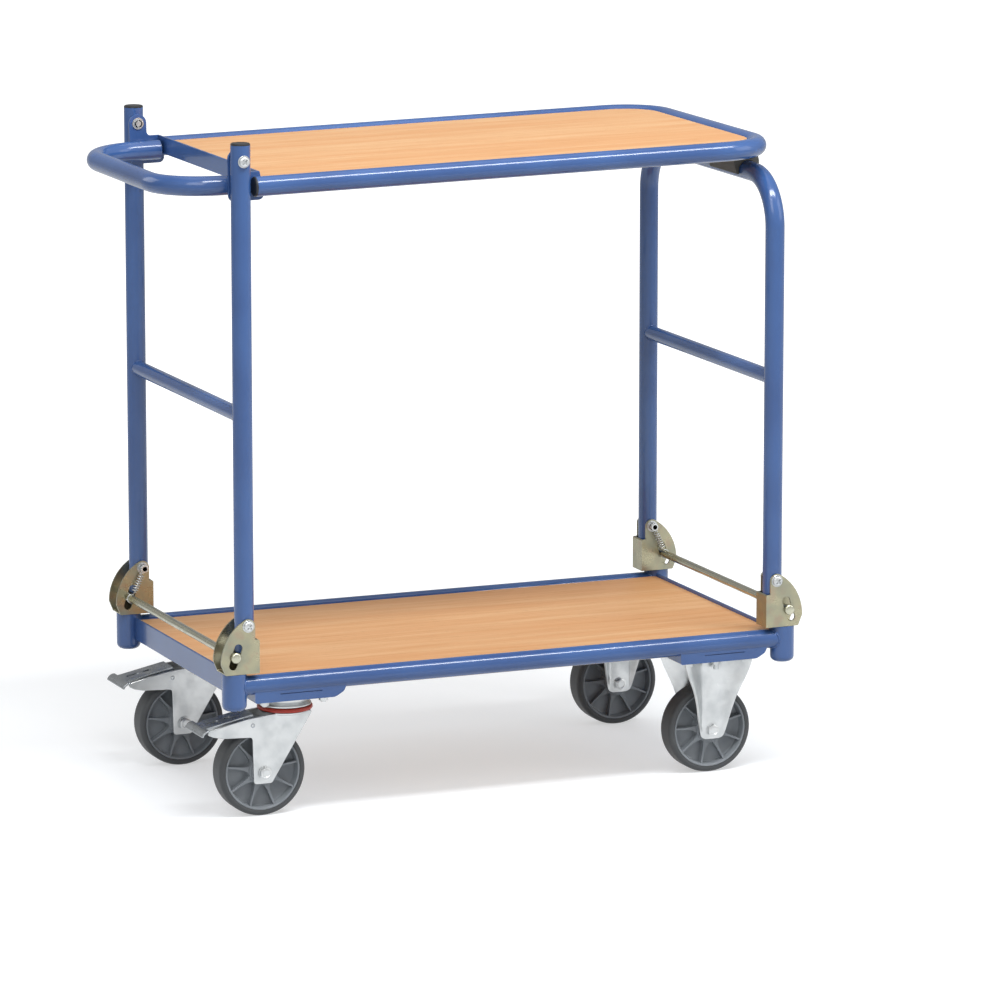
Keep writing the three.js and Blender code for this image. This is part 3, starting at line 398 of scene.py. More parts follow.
class Bench:
    """Operator steps that pieces are made with, in millimetres."""

    def __init__(self) -> None:
        """Starts with no materials made."""
        self.materials: dict[Finish, bpy.types.Material] = {}

    def pick(self, piece: Piece) -> None:
        """Makes one piece the only selected and active one."""
        bpy.ops.object.select_all(action="DESELECT")
        piece.select_set(True)
        bpy.context.view_layer.objects.active = piece

    @contextmanager
    def editing(self, piece: Piece) -> Iterator[None]:
        """Opens a piece in edit mode with all of it selected.

        Args:
            piece: The piece to edit.

        Yields:
            Nothing; operators act on the piece meanwhile.
        """
        self.pick(piece)
        bpy.ops.object.mode_set(mode="EDIT")
        bpy.ops.mesh.select_all(action="SELECT")
        yield
        bpy.ops.object.mode_set(mode="OBJECT")

    def settle(self, piece: Piece) -> Piece:
        """Applies place, turn and scale to the mesh."""
        self.pick(piece)
        bpy.ops.object.transform_apply(location=True, rotation=True, scale=True)
        return piece

    def face_out(self, piece: Piece) -> Piece:
        """Merges doubles and turns the faces outwards.

        Args:
            piece: A closed shell.

        Returns:
            The same piece.
        """
        with self.editing(piece):
            bpy.ops.mesh.remove_doubles(threshold=MERGE)
            bpy.ops.mesh.delete_loose(use_verts=True, use_edges=True, use_faces=False)
            bpy.ops.mesh.select_all(action="SELECT")
            bpy.ops.mesh.normals_make_consistent(inside=False)
        body = bmesh.new()
        body.from_mesh(piece.data)
        inside_out = body.calc_volume(signed=True) < 0
        body.free()
        if inside_out:
            with self.editing(piece):
                bpy.ops.mesh.flip_normals()
        return piece

    def block(self, low: Solid, high: Solid) -> Piece:
        """A box between two corners.

        Args:
            low: Lowest corner.
            high: Highest corner.

        Returns:
            The box.
        """
        middle = [(a + b) / 2 for a, b in zip(low, high)]
        bpy.ops.mesh.primitive_cube_add(size=1, location=middle)
        piece = bpy.context.object
        piece.scale = [b - a for a, b in zip(low, high)]
        return self.settle(piece)

    def rod(self, base: Solid, tip: Solid, radius: float, sides: int = 48) -> Piece:
        """A straight round bar between two points.

        Args:
            base: Middle of its first end.
            tip: Middle of its other end.
            radius: Its radius.
            sides: Faces round it.

        Returns:
            The bar.
        """
        start, end = Vector(base), Vector(tip)
        bpy.ops.mesh.primitive_cylinder_add(
            vertices=sides,
            radius=radius,
            depth=(end - start).length,
            location=(start + end) / 2,
            rotation=(end - start).to_track_quat("Z", "Y").to_euler(),
        )
        return self.settle(bpy.context.object)

    def pin(self, start: float, stop: float, radius: float, sides: int = 48) -> Piece:
        """A straight round bar along the Y axis, from start to stop."""
        return self.rod((0, start, 0), (0, stop, 0), radius, sides)

    def loop(self, corners: Sequence[Solid]) -> Piece:
        """A closed loop of edges through the given corners.

        Args:
            corners: The corners in order.

        Returns:
            The loop.
        """
        bpy.ops.mesh.primitive_circle_add(vertices=len(corners), radius=1, location=(0, 0, 0))
        piece = bpy.context.object
        for vertex, corner in zip(piece.data.vertices, corners):
            vertex.co = corner
        return piece

    def plate(self, outline: Sequence[Flat], low: float, high: float, plane: Plane) -> Piece:
        """An outline filled and extruded to a plate.

        Args:
            outline: Corners in the plane.
            low: Where the plate starts on the third axis.
            high: Where it ends.
            plane: The plane of the outline.

        Returns:
            The plate.
        """
        piece = self.loop([plane.point(spot, low) for spot in outline])
        with self.editing(piece):
            bpy.ops.mesh.edge_face_add()
            grow = plane.point((0, 0), high - low)
            bpy.ops.mesh.extrude_region_move(TRANSFORM_OT_translate={"value": grow})
        return self.face_out(piece)

    def turned(self, profile: Sequence[Flat], sides: int, along: str = "Z") -> Piece:
        """A closed profile spun round an axis through the origin.

        Args:
            profile: Corners as distance from the axis and place along it.
            sides: Faces round the piece.
            along: The axis, X, Y or Z.

        Returns:
            The turned piece.
        """
        piece = self.loop([(r, 0, h) for r, h in profile])
        with self.editing(piece):
            bpy.ops.mesh.spin(steps=sides, angle=2 * math.pi, center=(0, 0, 0), axis=(0, 0, 1))
        self.face_out(piece)
        turns = {"X": Matrix.Rotation(math.pi / 2, 4, "Y"), "Y": Matrix.Rotation(-math.pi / 2, 4, "X")}
        if along in turns:
            piece.matrix_world = turns[along]
            self.settle(piece)
        return piece

    def tube(self, start: Solid, heading: Solid, route: Route, radius: float, wall: float = 2.0) -> Piece:
        """A hollow tube that runs and bends along a route.

        Args:
            start: Middle of its first end.
            heading: Direction there.
            route: Runs as (length,), bends as (degrees, bend radius, x, y, z of the bend's axis).
            radius: Outer radius.
            wall: Thickness of its wall.

        Returns:
            The tube.
        """
        spot, way = Vector(start), Vector(heading).normalized()
        bpy.ops.mesh.primitive_circle_add(
            vertices=TUBE_SIDES,
            radius=radius,
            location=spot,
            rotation=way.to_track_quat("Z", "Y").to_euler(),
        )
        piece = self.settle(bpy.context.object)
        with self.editing(piece):
            for step in route:
                if len(step) == 1:
                    shift = way * step[0]
                    bpy.ops.mesh.extrude_region_move(TRANSFORM_OT_translate={"value": shift})
                    spot = spot + shift
                    continue
                angle, axis = math.radians(step[0]), Vector(step[2:])
                middle = spot + axis.cross(way) * math.copysign(step[1], angle)
                count = max(2, round(abs(step[0]) / BEND_STEP))
                bpy.ops.mesh.spin(steps=count, angle=-angle, center=middle, axis=axis)
                turn = Matrix.Rotation(angle, 3, axis)
                spot = middle + turn @ (spot - middle)
                way = turn @ way
            bpy.ops.mesh.select_all(action="SELECT")
            bpy.ops.mesh.remove_doubles(threshold=MERGE)
            bpy.ops.mesh.normals_make_consistent(inside=False)
        self.modify(piece, "SOLIDIFY", thickness=wall, offset=-1)
        return self.face_out(piece)

    def wire(self, path: Sequence[Solid], radius: float, widths: Sequence[float] = ()) -> Piece:
        """A round wire through a list of places.

        Args:
            path: The places.
            radius: The wire's radius.
            widths: Share of the radius at each place, all 1 if left out.

        Returns:
            The wire as a mesh.
        """
        curve = bpy.data.curves.new("wire", "CURVE")
        curve.dimensions = "3D"
        curve.bevel_depth = radius
        curve.bevel_resolution = 3
        curve.use_fill_caps = True
        spline = curve.splines.new("POLY")
        spline.points.add(len(path) - 1)
        for i, place in enumerate(path):
            spline.points[i].co = (*place, 1)
            spline.points[i].radius = widths[i] if widths else 1.0
        piece = bpy.data.objects.new("wire", curve)
        bpy.context.scene.collection.objects.link(piece)
        self.pick(piece)
        bpy.ops.object.convert(target="MESH")
        return self.face_out(bpy.context.object)

    def modify(self, piece: Piece, kind: str, **settings: object) -> Piece:
        """Adds a modifier and applies it.

        Args:
            piece: The piece.
            kind: Type of the modifier.
            **settings: Its options.

        Returns:
            The same piece.
        """
        self.pick(piece)
        modifier = piece.modifiers.new("step", kind)
        for key, value in settings.items():
            setattr(modifier, key, value)
        bpy.ops.object.modifier_apply(modifier=modifier.name)
        return piece

    def soften(self, piece: Piece, width: float, segments: int = 2, angle: float = 32.0) -> Piece:
        """Rounds the sharp edges of a piece."""
        return self.modify(
            piece,
            "BEVEL",
            width=width,
            segments=segments,
            limit_method="ANGLE",
            angle_limit=math.radians(angle),
        )

    def cut(self, piece: Piece, *tools: Piece, operation: str = "DIFFERENCE") -> Piece:
        """Takes tools away from a piece, or keeps only what it shares with them.

        Args:
            piece: The piece to cut.
            *tools: Closed shapes, used up by the cut.
            operation: DIFFERENCE or INTERSECT.

        Returns:
            The same piece.
        """
        for tool in tools:
            self.modify(piece, "BOOLEAN", operation=operation, solver="EXACT", object=tool)
            bpy.data.objects.remove(tool, do_unlink=True)
        return piece

    def drill(self, piece: Piece, radius: float, reach: float) -> Piece:
        """Drills a hole along Y through the origin, as far as reach to both sides."""
        return self.cut(piece, self.pin(-reach, reach, radius, 32))

    def gather(self, *pieces: Piece) -> Piece:
        """Puts pieces into one object without changing their shells."""
        self.pick(pieces[0])
        for piece in pieces[1:]:
            piece.select_set(True)
        bpy.ops.object.join()
        return bpy.context.object

    def move(self, piece: Piece, matrix: Matrix) -> Piece:
        """Moves or turns a piece and settles it."""
        piece.matrix_world = matrix @ piece.matrix_world
        return self.settle(piece)

    def shift(self, piece: Piece, x: float, y: float = 0.0, z: float = 0.0) -> Piece:
        """Shifts a piece and settles it."""
        return self.move(piece, Matrix.Translation((x, y, z)))

    def copied(self, piece: Piece, matrix: Matrix) -> Piece:
        """A copy with a mesh of its own.

        Args:
            piece: The piece to copy.
            matrix: Where the copy goes, seen from the first.

        Returns:
            The copy, its faces turned out again if it was mirrored.
        """
        twin = piece.copy()
        twin.data = piece.data.copy()
        bpy.context.scene.collection.objects.link(twin)
        self.move(twin, matrix)
        return self.face_out(twin) if matrix.determinant() < 0 else twin

    def deal(self, model: Piece, places: Places) -> dict[str, Piece]:
        """Copies a model to each of its places.

        Args:
            model: The modelled piece, used up by its copies.
            places: Where each copy goes, by its word.

        Returns:
            The copies by the same words, each with its own mesh.
        """
        pieces = {word: self.copied(model, matrix) for word, matrix in places.items()}
        bpy.data.objects.remove(model, do_unlink=True)
        return pieces

    def material(self, finish: Finish) -> bpy.types.Material:
        """The material of a finish, made once."""
        if finish not in self.materials:
            graph = Graph(bpy.data.materials.new(finish.slot))
            finish.paint(graph)
            self.materials[finish] = graph.owner
        return self.materials[finish]

    def hand_over(self, piece: Piece, name: str, finish: Finish, body: str, *nodes: str) -> None:
        """Scales a piece to metres, dresses it and lets it ride on its body.

        Args:
            piece: The finished piece, in millimetres.
            name: Its name.
            finish: What it is made of.
            body: The body it moves with.
            *nodes: CAD nodes that it stands for.
        """
        piece.name = name
        piece.data.name = name
        self.move(piece, Matrix.Translation((SHIFT * MM, 0, 0)) @ Matrix.Scale(MM, 4))
        self.pick(piece)
        bpy.ops.object.shade_smooth_by_angle(angle=math.radians(SMOOTH))
        self.modify(piece, "WEIGHTED_NORMAL", keep_sharp=True)
        piece.data.materials.clear()
        piece.data.materials.append(self.material(finish))
        for node in nodes:
            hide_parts(node)
        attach(piece, body)
        LOG.info("%s rides on %s, %d faces", name, body, len(piece.data.polygons))


def arc(x: float, y: float, radius: float, start: float, end: float, steps: int = 12) -> list[Flat]:
    """Points along an arc.

    Args:
        x: First coordinate of its centre.
        y: Second coordinate of its centre.
        radius: Its radius.
        start: Angle in degrees where it starts.
        end: Angle where it ends.
        steps: Number of chords.

    Returns:
        The points, both ends among them.
    """
    angles = [math.radians(start + (end - start) * i / steps) for i in range(steps + 1)]
    return [(x + radius * math.cos(a), y + radius * math.sin(a)) for a in angles]


def rounded(corners: Sequence[Solid], steps: int = 6) -> list[Flat]:
    """A polygon whose corners are rounded.

    Args:
        corners: Each corner as x, y and its radius.
        steps: Chords of each round.

    Returns:
        The outline.
    """
    outline: list[Flat] = []
    count = len(corners)
    for i, (x, y, radius) in enumerate(corners):
        here = Vector((x, y))
        before = (Vector(corners[i - 1][:2]) - here).normalized()
        after = (Vector(corners[(i + 1) % count][:2]) - here).normalized()
        if radius <= 0:
            outline.append((x, y))
            continue
        half = before.angle(after) / 2
        reach = radius / math.tan(half)
        centre = here + (before + after).normalized() * (radius / math.sin(half))
        first, last = here + before * reach - centre, here + after * reach - centre
        sweep = first.angle_signed(last)
        for k in range(steps + 1):
            angle = -sweep * k / steps
            turned = Matrix.Rotation(angle, 2) @ first
            outline.append(tuple(centre + turned))
    return outline


def bent_twice(run: float, angle: float, bend: float, half: float, axis: Vector) -> Route:
    """Route of a tube bent to a U: a leg, a bend, a crossbar, a bend and a leg.

    Args:
        run: Length of each leg up to its bend.
        angle: Degrees of each bend.
        bend: Radius of the bends.
        half: Half the distance between the legs.
        axis: Axis of the bends.

    Returns:
        The route.
    """
    corner = (angle, bend, *axis)
    return [(run,), corner, (2 * (half - bend),), corner, (run,)]


def both_ways(half: Sequence[Flat]) -> list[Flat]:
    """A profile closed by its own mirror image across the middle plane."""
    return [*half, *[(x, -y) for x, y in reversed(half)]]


@dataclass
class Stock:
    """Tube, sheet and fastener sizes that every sub-assembly shares."""

    tube: float = 13.5
    cross: float = 10.5
    bend: float = 70.0
    pivot_x: float = 395.0
    pivot_y: float = 215.0
    pivot_z: float = 279.0
    seat: float = 0.3
    hole: float = 4.3
    shank: float = 3.9
    head: float = 6.8
    head_height: float = 4.2


class Assembly(Generic[Sizes]):
    """A group of pieces made on one bench, from shared stock and sizes of its own."""

    def __init__(self, bench: Bench, stock: Stock, sizes: Sizes) -> None:
        """Keeps the bench, the stock and the group's own sizes."""
        self.bench = bench
        self.stock = stock
        self.sizes = sizes

    def corners(self, x: float, y: float, z: float = 0.0, flip: bool = False) -> Places:
        """Places at the four corners, by end and row.

        Args:
            x: Distance from the middle along the trolley.
            y: Distance from the middle across it.
            z: Height.
            flip: Whether the model, made for the right far corner, is mirrored for the others.

        Returns:
            A matrix for each corner.
        """
        places = {}
        for end in End:
            for row in Row:
                turn = Matrix.Diagonal((end.value, row.value, 1, 1)) if flip else Matrix.Identity(4)
                spot = Matrix.Translation((end.value * x, row.value * y, z))
                places[f"{end.word}_{row.word}"] = spot @ turn
        return places

    def pair(self, x: float, y: float, z: float = 0.0) -> Places:
        """Places on the near and the far side, the near one mirrored."""
        turns = {row: Matrix.Diagonal((1, row.value, 1, 1)) for row in Row}
        return {row.word: Matrix.Translation((x, row.value * y, z)) @ turns[row] for row in Row}

    def ends(self, x: float, z: float = 0.0) -> Places:
        """Places in the middle of the left and the right end."""
        return {end.word: Matrix.Translation((end.value * x, 0, z)) for end in End}

    def spread(self, model: Piece, places: Places, name: str, finish: Finish, body: str, node: str) -> None:
        """Copies a piece to its places and hands the copies over.

        Args:
            model: The modelled piece, used up by its copies.
            places: Where each copy goes, by its word.
            name: The copies' name, with {} for the word.
            finish: What they are made of.
            body: The body they move with, with {} where it takes the word.
            node: The CAD node they stand for, with {} where it takes the word.
        """
        for word, piece in self.bench.deal(model, places).items():
            self.bench.hand_over(piece, name.format(word), finish, body.format(word), node.format(word))

    def weld(self, centre: Vector, along: Vector, small: float, large: float, bead: float) -> Piece:
        """A weld bead where a tube meets a thicker upright one.

        Args:
            centre: Where the two axes cross.
            along: Direction in which the smaller tube leaves.
            small: Radius of the smaller tube.
            large: Radius of the larger tube.
            bead: Radius of the bead.

        Returns:
            The bead.
        """
        side = along.cross(UP)
        steps = 72
        ripples, ripple = 18, 0.16
        path: list[Solid] = []
        widths: list[float] = []
        for i in range(steps + 1):
            angle = 2 * math.pi * i / steps
            across, rise = small * math.cos(angle), small * math.sin(angle)
            out = math.sqrt(max(large * large - across * across, 1.0))
            path.append(tuple(centre + along * out + side * across + UP * rise))
            widths.append(1.0 + ripple * math.sin(angle * ripples))
        return self.bench.wire(path, bead, widths)

    def welded(
        self, along: Vector, half: float, inset: float, height: float, radii: Flat, bead: float, wall: float
    ) -> Piece:
        """A straight tube across the middle, welded to a thicker upright one at each end.

        Args:
            along: Its direction.
            half: Distance of the thicker tubes' axes from the middle.
            inset: How far it stops short of those axes.
            height: Height of its axis.
            radii: Its own radius and that of the thicker tubes.
            bead: Radius of the weld beads.
            wall: Thickness of its wall.

        Returns:
            The tube with both beads.
        """
        bench = self.bench
        reach, lift = half - inset, UP * height
        tube = bench.tube(lift - along * reach, along, [(2 * reach,)], radii[0], wall)
        first = self.weld(lift - along * half, along, *radii, bead)
        other = bench.copied(first, HALF_TURN)
        return bench.gather(tube, first, other)

    def pan_head(self, face: float, nut: float, collar: float = 0.0) -> Piece:
        """A cross-recessed pan head bolt along Y with its washer and nut, pivot at the origin.

        Args:
            face: Distance of the washer's seat from the pivot.
            nut: Distance of the nut's seat, on the other side.
            collar: Length of a tail with a collar beyond the nut.

        Returns:
            The bolt.
        """
        bench, stock = self.bench, self.stock
        seat = face + 1.1
        top = seat + stock.head_height
        washer = [(0.0, face), (8.4, face), (8.4, face + 0.8), (8.1, seat)]
        dome = [(stock.head * math.cos(a), top - 2.0 + 2.0 * math.sin(a)) for a in (0.0, 0.4, 0.8, 1.2)]
        head = bench.turned([*washer, (stock.head, seat), *dome, (0.0, top)], 48, "Y")
        arm, deep, wide = 4.4, 2.6, 1.0
        for turn in (math.pi / 4, -math.pi / 4):
            slot = bench.block((-arm, top - deep, -wide), (arm, top + 2, wide))
            bench.cut(head, bench.move(slot, Matrix.Rotation(turn, 4, "Y")))
        shank_end = -nut - 3.4 - collar
        shank = bench.pin(face + 0.5, shank_end, stock.shank, 32)
        disc = bench.pin(-nut, -nut - 0.9, 8.2)
        hexagon = bench.pin(-nut - 0.9, -nut - 3.2, 6.4, 6)
        bench.cut(hexagon, bench.pin(-nut, -nut - 4.0, 5.2, 32))
        parts = [head, bench.soften(shank, 0.4), bench.soften(disc, 0.25), bench.soften(hexagon, 0.25)]
        if collar:
            parts.append(bench.soften(bench.pin(shank_end, shank_end + 2.0, 5.5, 32), 0.5))
        return bench.gather(*parts)

    def hex_bolt(self, place: Solid, drop: float, radius: float) -> Piece:
        """A hexagon nut on a bolt's end, below a flange.

        Args:
            place: Middle of the seat.
            drop: How far the bolt reaches below the seat.
            radius: Corner radius of the nut.

        Returns:
            The nut with its bolt end and washer.
        """
        bench = self.bench
        x, y, z = place
        washer = bench.soften(bench.rod((x, y, z), (x, y, z - 1.3), radius + 1.2, 32), 0.3)
        nut = bench.soften(bench.rod((x, y, z - 1.3), (x, y, z - 6.0), radius, 6), 0.6)
        stud = bench.soften(bench.rod((x, y, z - 5), (x, y, z - drop), self.stock.shank, 28), 0.7)
        return bench.gather(washer, nut, stud)


@dataclass
class LowerFrame:
    """Sizes of the welded lower frame."""

    post_x: float = 410.5
    rail_y: float = 216.5
    post: float = 17.0
    post_foot: float = 161.0
    post_top: float = 212.7
    rail_z: float = 194.0
    bar_face: float = 406.0
    bar_low: float = 175.0
    bar_high: float = 207.5
    sheet: float = 3.0
    ledge: float = 22.0
    panel_top: float = 203.0
    panel: float = 10.0
    channel_floor: float = 169.5
    channel_top: float = 187.0
    channel_half: float = 67.0
    channel_flare: float = 17.0
    channel_y: float = 227.0
    slit: float = 61.0
    caster_x: float = 317.0


class LowerDeck(Assembly[LowerFrame]):
    """Posts, rails, end bars, caster channels and the lower panel."""

    def build(self) -> None:
        """Makes all pieces of the lower deck."""
        self.posts()
        self.rails()
        self.end_bars()
        self.channels()
        self.panel()

    def posts(self) -> None:
        """Makes a corner post with a domed foot and copies it to the four corners."""
        size, bench = self.sizes, self.bench
        edge, bore = 8, 14.5
        inner = size.post - edge
        dome = [
            (inner + edge * math.sin(a), size.post_foot + edge - edge * math.cos(a))
            for a in (0, 0.3, 0.6, 0.9, 1.2, 1.57)
        ]
        hollow = size.post_foot + 12
        profile = [(0, size.post_foot), *dome, (size.post, size.post_top), (bore, size.post_top)]
        post = bench.soften(bench.turned([*profile, (bore, hollow), (0, hollow)], 56), 0.5)
        places = self.corners(size.post_x, size.rail_y)
        self.spread(post, places, "corner_post_{}", PAINT, "chassis", "chassis_frame")

    def rails(self) -> None:
        """Makes a side rail with its weld beads and copies it across."""
        size, radii = self.sizes, (self.stock.tube, self.sizes.post)
        rail = self.welded(ALONG, size.post_x, inset=9, height=size.rail_z, radii=radii, bead=1.5, wall=2.0)
        self.spread(rail, self.pair(0, size.rail_y), "side_rail_{}", PAINT, "chassis", "chassis_frame")

    def end_bars(self) -> None:
        """Makes the angle bar across the right end and mirrors a copy to the left."""
        size, bench = self.sizes, self.bench
        face, back = size.bar_face, size.bar_face - size.sheet
        shelf = size.panel_top - size.panel - self.stock.seat
        tip, under = back - size.ledge, shelf - size.sheet
        wall = [(face, size.bar_low, 1.2), (face, size.bar_high, 1.2), (back, size.bar_high, 1.2)]
        ledge = [(back, shelf, 1.5), (tip, shelf, 1.2), (tip, under, 1.2), (back, under, 1.5)]
        outline = rounded([*wall, *ledge, (back, size.bar_low, 1.2)], 3)
        reach = size.rail_y - 14
        bar = bench.plate(outline, -reach, reach, Plane.XZ)
        places = {end.word: Matrix.Diagonal((end.value, 1, 1, 1)) for end in End}
        self.spread(bar, places, "end_bar_{}", PAINT, "chassis", "chassis_frame")

    def channel_form(self, inset: float, top: float, rounds: Solid) -> Piece:
        """A channel's outer form, or the room inside it.

        Args:
            inset: How far it lies inside the outer form.
            top: Height of its top.
            rounds: Radii at its left edge, where the flare starts and where it turns up.

        Returns:
            The form.
        """
        size = self.sizes
        half, floor, flare = size.channel_half - inset, size.channel_floor + inset, size.channel_flare
        edge = (half - flare * 0.25, floor + 7.5, rounds[2])
        base = [(-half, floor, rounds[0]), (half - flare, floor, rounds[1]), edge]
        reach = size.channel_y - inset
        outline = rounded([*base, (half, top, 0.0), (-half, top, 0.0)])
        return self.bench.plate(outline, -reach, reach, Plane.XZ)

    def channels(self) -> None:
        """Makes a pressed caster channel with a slit in each end wall and copies it to both ends."""
        size, bench = self.sizes, self.bench
        tray = self.channel_form(0.0, size.channel_top, (3.0, 14.0, 9.0))
        bench.cut(tray, self.channel_form(size.sheet, size.channel_top + 4, (1.5, 10.0, 9.0)))
        half, low, high = size.slit / 2, size.channel_floor + 10.2, size.channel_floor + 11.6
        for turn in (0, math.pi):
            slit = bench.block((-half, size.channel_y - 2, low), (half, size.channel_y + 1, high))
            bench.cut(tray, bench.move(slit, Matrix.Rotation(turn, 4, "Z")))
        bench.soften(tray, 0.9)
        self.spread(tray, self.ends(size.caster_x), "caster_channel_{}", PAINT, "chassis", "chassis_frame")

    def panel(self) -> None:
        """Makes the lower panel, notched round the posts."""
        size, bench = self.sizes, self.bench
        reach_x = size.bar_face - size.sheet - 2 * self.stock.seat
        reach_y = size.rail_y - self.stock.tube - self.stock.seat
        low = (-reach_x, -reach_y, size.panel_top - size.panel)
        panel = bench.block(low, (reach_x, reach_y, size.panel_top))
        for end in End:
            for row in Row:
                x, y = end.value * size.post_x, row.value * size.rail_y
                notch = bench.rod((x, y, size.post_foot), (x, y, size.panel_top + 5), size.post + 0.5)
                bench.cut(panel, notch)
        bench.soften(panel, 0.4)
        bench.hand_over(panel, "lower_board", BEECH, "chassis", "lower_panel")


@dataclass
class BracketSizes:
    """Sizes of a hinge bracket, its lock rod and its springs, from the pivot."""

    boss: float = 10.0
    sheet: float = 2.5
    drop: float = 66.0
    sweep_in: float = 28.8
    sweep_drop: float = 50.6
    heel: float = 34.2
    web_drop: float = 19.3
    slot_top: Flat = (14.5, -29.4)
    slot_end: Flat = (22.1, -53.0)
    slot: float = 6.0
    inner: float = 14.0
    rod: float = 5.5
    rod_share: float = 0.53
    coil: float = 3.9
    wire: float = 0.72
    turns: int = 8
    spring_y: float = 22.7

    @property
    def outer(self) -> float:
        """Distance of a side plate's outer face from the bracket's middle."""
        return self.inner + self.sheet

    @property
    def rod_place(self) -> Flat:
        """Where the lock rod rests, outwards and up from the pivot."""
        (x0, z0), (x1, z1) = self.slot_top, self.slot_end
        return (x0 + (x1 - x0) * self.rod_share, z0 + (z1 - z0) * self.rod_share)


class Hinges(Assembly[BracketSizes]):
    """The four hinge brackets with bolts and springs, and the two lock rods."""

    def build(self) -> None:
        """Makes all pieces of the hinges."""
        self.brackets()
        self.bolts()
        self.springs()
        self.lock_rods()

    def outline(self) -> list[Flat]:
        """Outline of a side plate for the right end."""
        size = self.sizes
        web = size.inner - 0.2 + size.sheet
        meet = math.degrees(math.atan2(size.sweep_drop, size.sweep_in))
        radius = math.hypot(size.sweep_in, size.sweep_drop) + size.boss
        sweep = arc(-size.sweep_in, -size.sweep_drop, radius, meet, 0, 22)
        shoulder = [(-web, -size.drop), (-web, -size.web_drop - 1.5), (-web + 1.5, -size.web_drop)]
        heel = arc(size.heel - 2.5, 2.5 - size.drop, 2.5, 0, -90, 4)
        return [
            *shoulder,
            (-size.boss - 0.5, -size.web_drop),
            (-size.boss, -size.web_drop + 0.5),
            *arc(0, 0, size.boss, 180, meet, 14),
            *sweep[1:],
            *heel,
        ]

    def brackets(self) -> None:
        """Makes a pressed bracket, two slotted sides, a web and a foot, and copies it."""
        size, bench = self.sizes, self.bench
        outer, inner = size.outer, size.inner
        body = bench.plate(self.outline(), -outer, outer, Plane.XZ)
        near = 0.2 - inner
        room = bench.block((near, -inner, size.sheet - size.drop), (size.heel + 60, inner, size.boss + 30))
        bench.cut(body, bench.soften(room, 1.0, 3))
        through = 40
        bench.drill(body, self.stock.hole, through)
        (x0, z0), (x1, z1) = size.slot_top, size.slot_end
        lean = math.degrees(math.atan2(z0 - z1, x1 - x0))
        slot = [
            *arc(x0, z0, size.slot, 90 - lean, 270 - lean, 12),
            *arc(x1, z1, size.slot, 270 - lean, 450 - lean, 12),
        ]
        bench.cut(body, bench.plate(slot, -through, through, Plane.XZ))
        bench.soften(body, 0.45, 2, 40)
        self.spread(body, self.hinge_places(), "pressed_bracket_{}", YELLOW, "chassis", "hinge_bracket_{}")

    def hinge_places(self) -> Places:
        """The four pivots, for pieces modelled round the right far one."""
        stock = self.stock
        return self.corners(stock.pivot_x, stock.pivot_y, stock.pivot_z, True)

    def bolts(self) -> None:
        """Makes a pivot bolt and copies it to the four pivots."""
        outer = self.sizes.outer
        bolt = self.pan_head(outer, outer, collar=7.4)
        self.spread(bolt, self.hinge_places(), "pivot_bolt_{}", ZINC, "chassis", "hinge_bolt_{}")

    def springs(self) -> None:
        """Makes a tension spring with a loop at each end and copies it to the four pivots."""
        size, bench, stock = self.sizes, self.bench, self.stock
        x, z = size.rod_place
        reach = math.hypot(x, z)
        first, last = 4.85, size.rod + 0.85
        lead, taper, per_turn = 3.2, 8, 16
        path = [(*spot, 0.0) for spot in arc(0, 0, first, 270, 0, 19)]
        low, high = first + lead, reach - last - lead
        steps = size.turns * per_turn
        for i in range(steps + 1):
            turn = 2 * math.pi * i / per_turn
            grow = min(1.0, i / taper, (steps - i) / taper)
            wide = size.coil * math.sin(grow * math.pi / 2)
            path.append((low + (high - low) * i / steps, wide * math.sin(turn), wide * math.cos(turn)))
        path += [(*spot, 0.0) for spot in arc(reach, 0, last, 180, -100, 21)]
        spring = bench.wire(path, size.wire)
        lean = math.atan2(-z, x)
        bench.move(spring, Matrix.Rotation(lean, 4, "Y") @ Matrix.Rotation(math.pi / 2, 4, "X"))
        bench.shift(spring, 0, -size.spring_y)
        pieces = bench.deal(spring, self.hinge_places())
        for end in End:
            for row in Row:
                word = f"{end.word}_{row.word}"
                piece = pieces[word]
                bench.hand_over(piece, f"tension_spring_{word}", ZINC, "chassis", f"lock_spring_{word}")
                piece.parent = None
                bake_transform(piece)

    def lock_rods(self) -> None:
        """Makes a lock rod with a domed head outside each bracket, and copies it."""
        size, bench, stock = self.sizes, self.bench, self.stock
        shank = stock.pivot_y + size.outer + 1
        tip = shank + 5
        dome = [(7.5, shank), (7.5, shank + 2.2), (6.9, shank + 3.6), (5.4, tip - 0.4), (3.4, tip - 0.05)]
        heads = [*[(r, -h) for r, h in reversed(dome)], (size.rod, -shank), (size.rod, shank), *dome]
        rod = bench.turned([(0, -tip), *heads, (0, tip)], 48, "Y")
        x, z = size.rod_place
        places = self.ends(stock.pivot_x + x, stock.pivot_z + z)
        self.spread(rod, places, "locking_bar_{}", LOCK, "lock_rod_{}", "lock_rod_{}")


@dataclass
class UprightSizes:
    """Sizes of the two end frames."""

    low: float = 242.0
    top: float = 933.7
    cap: float = 936.6
    deck_pivot: float = 912.6
    cross_z: float = 565.0
    crossbar_z: float = 846.0


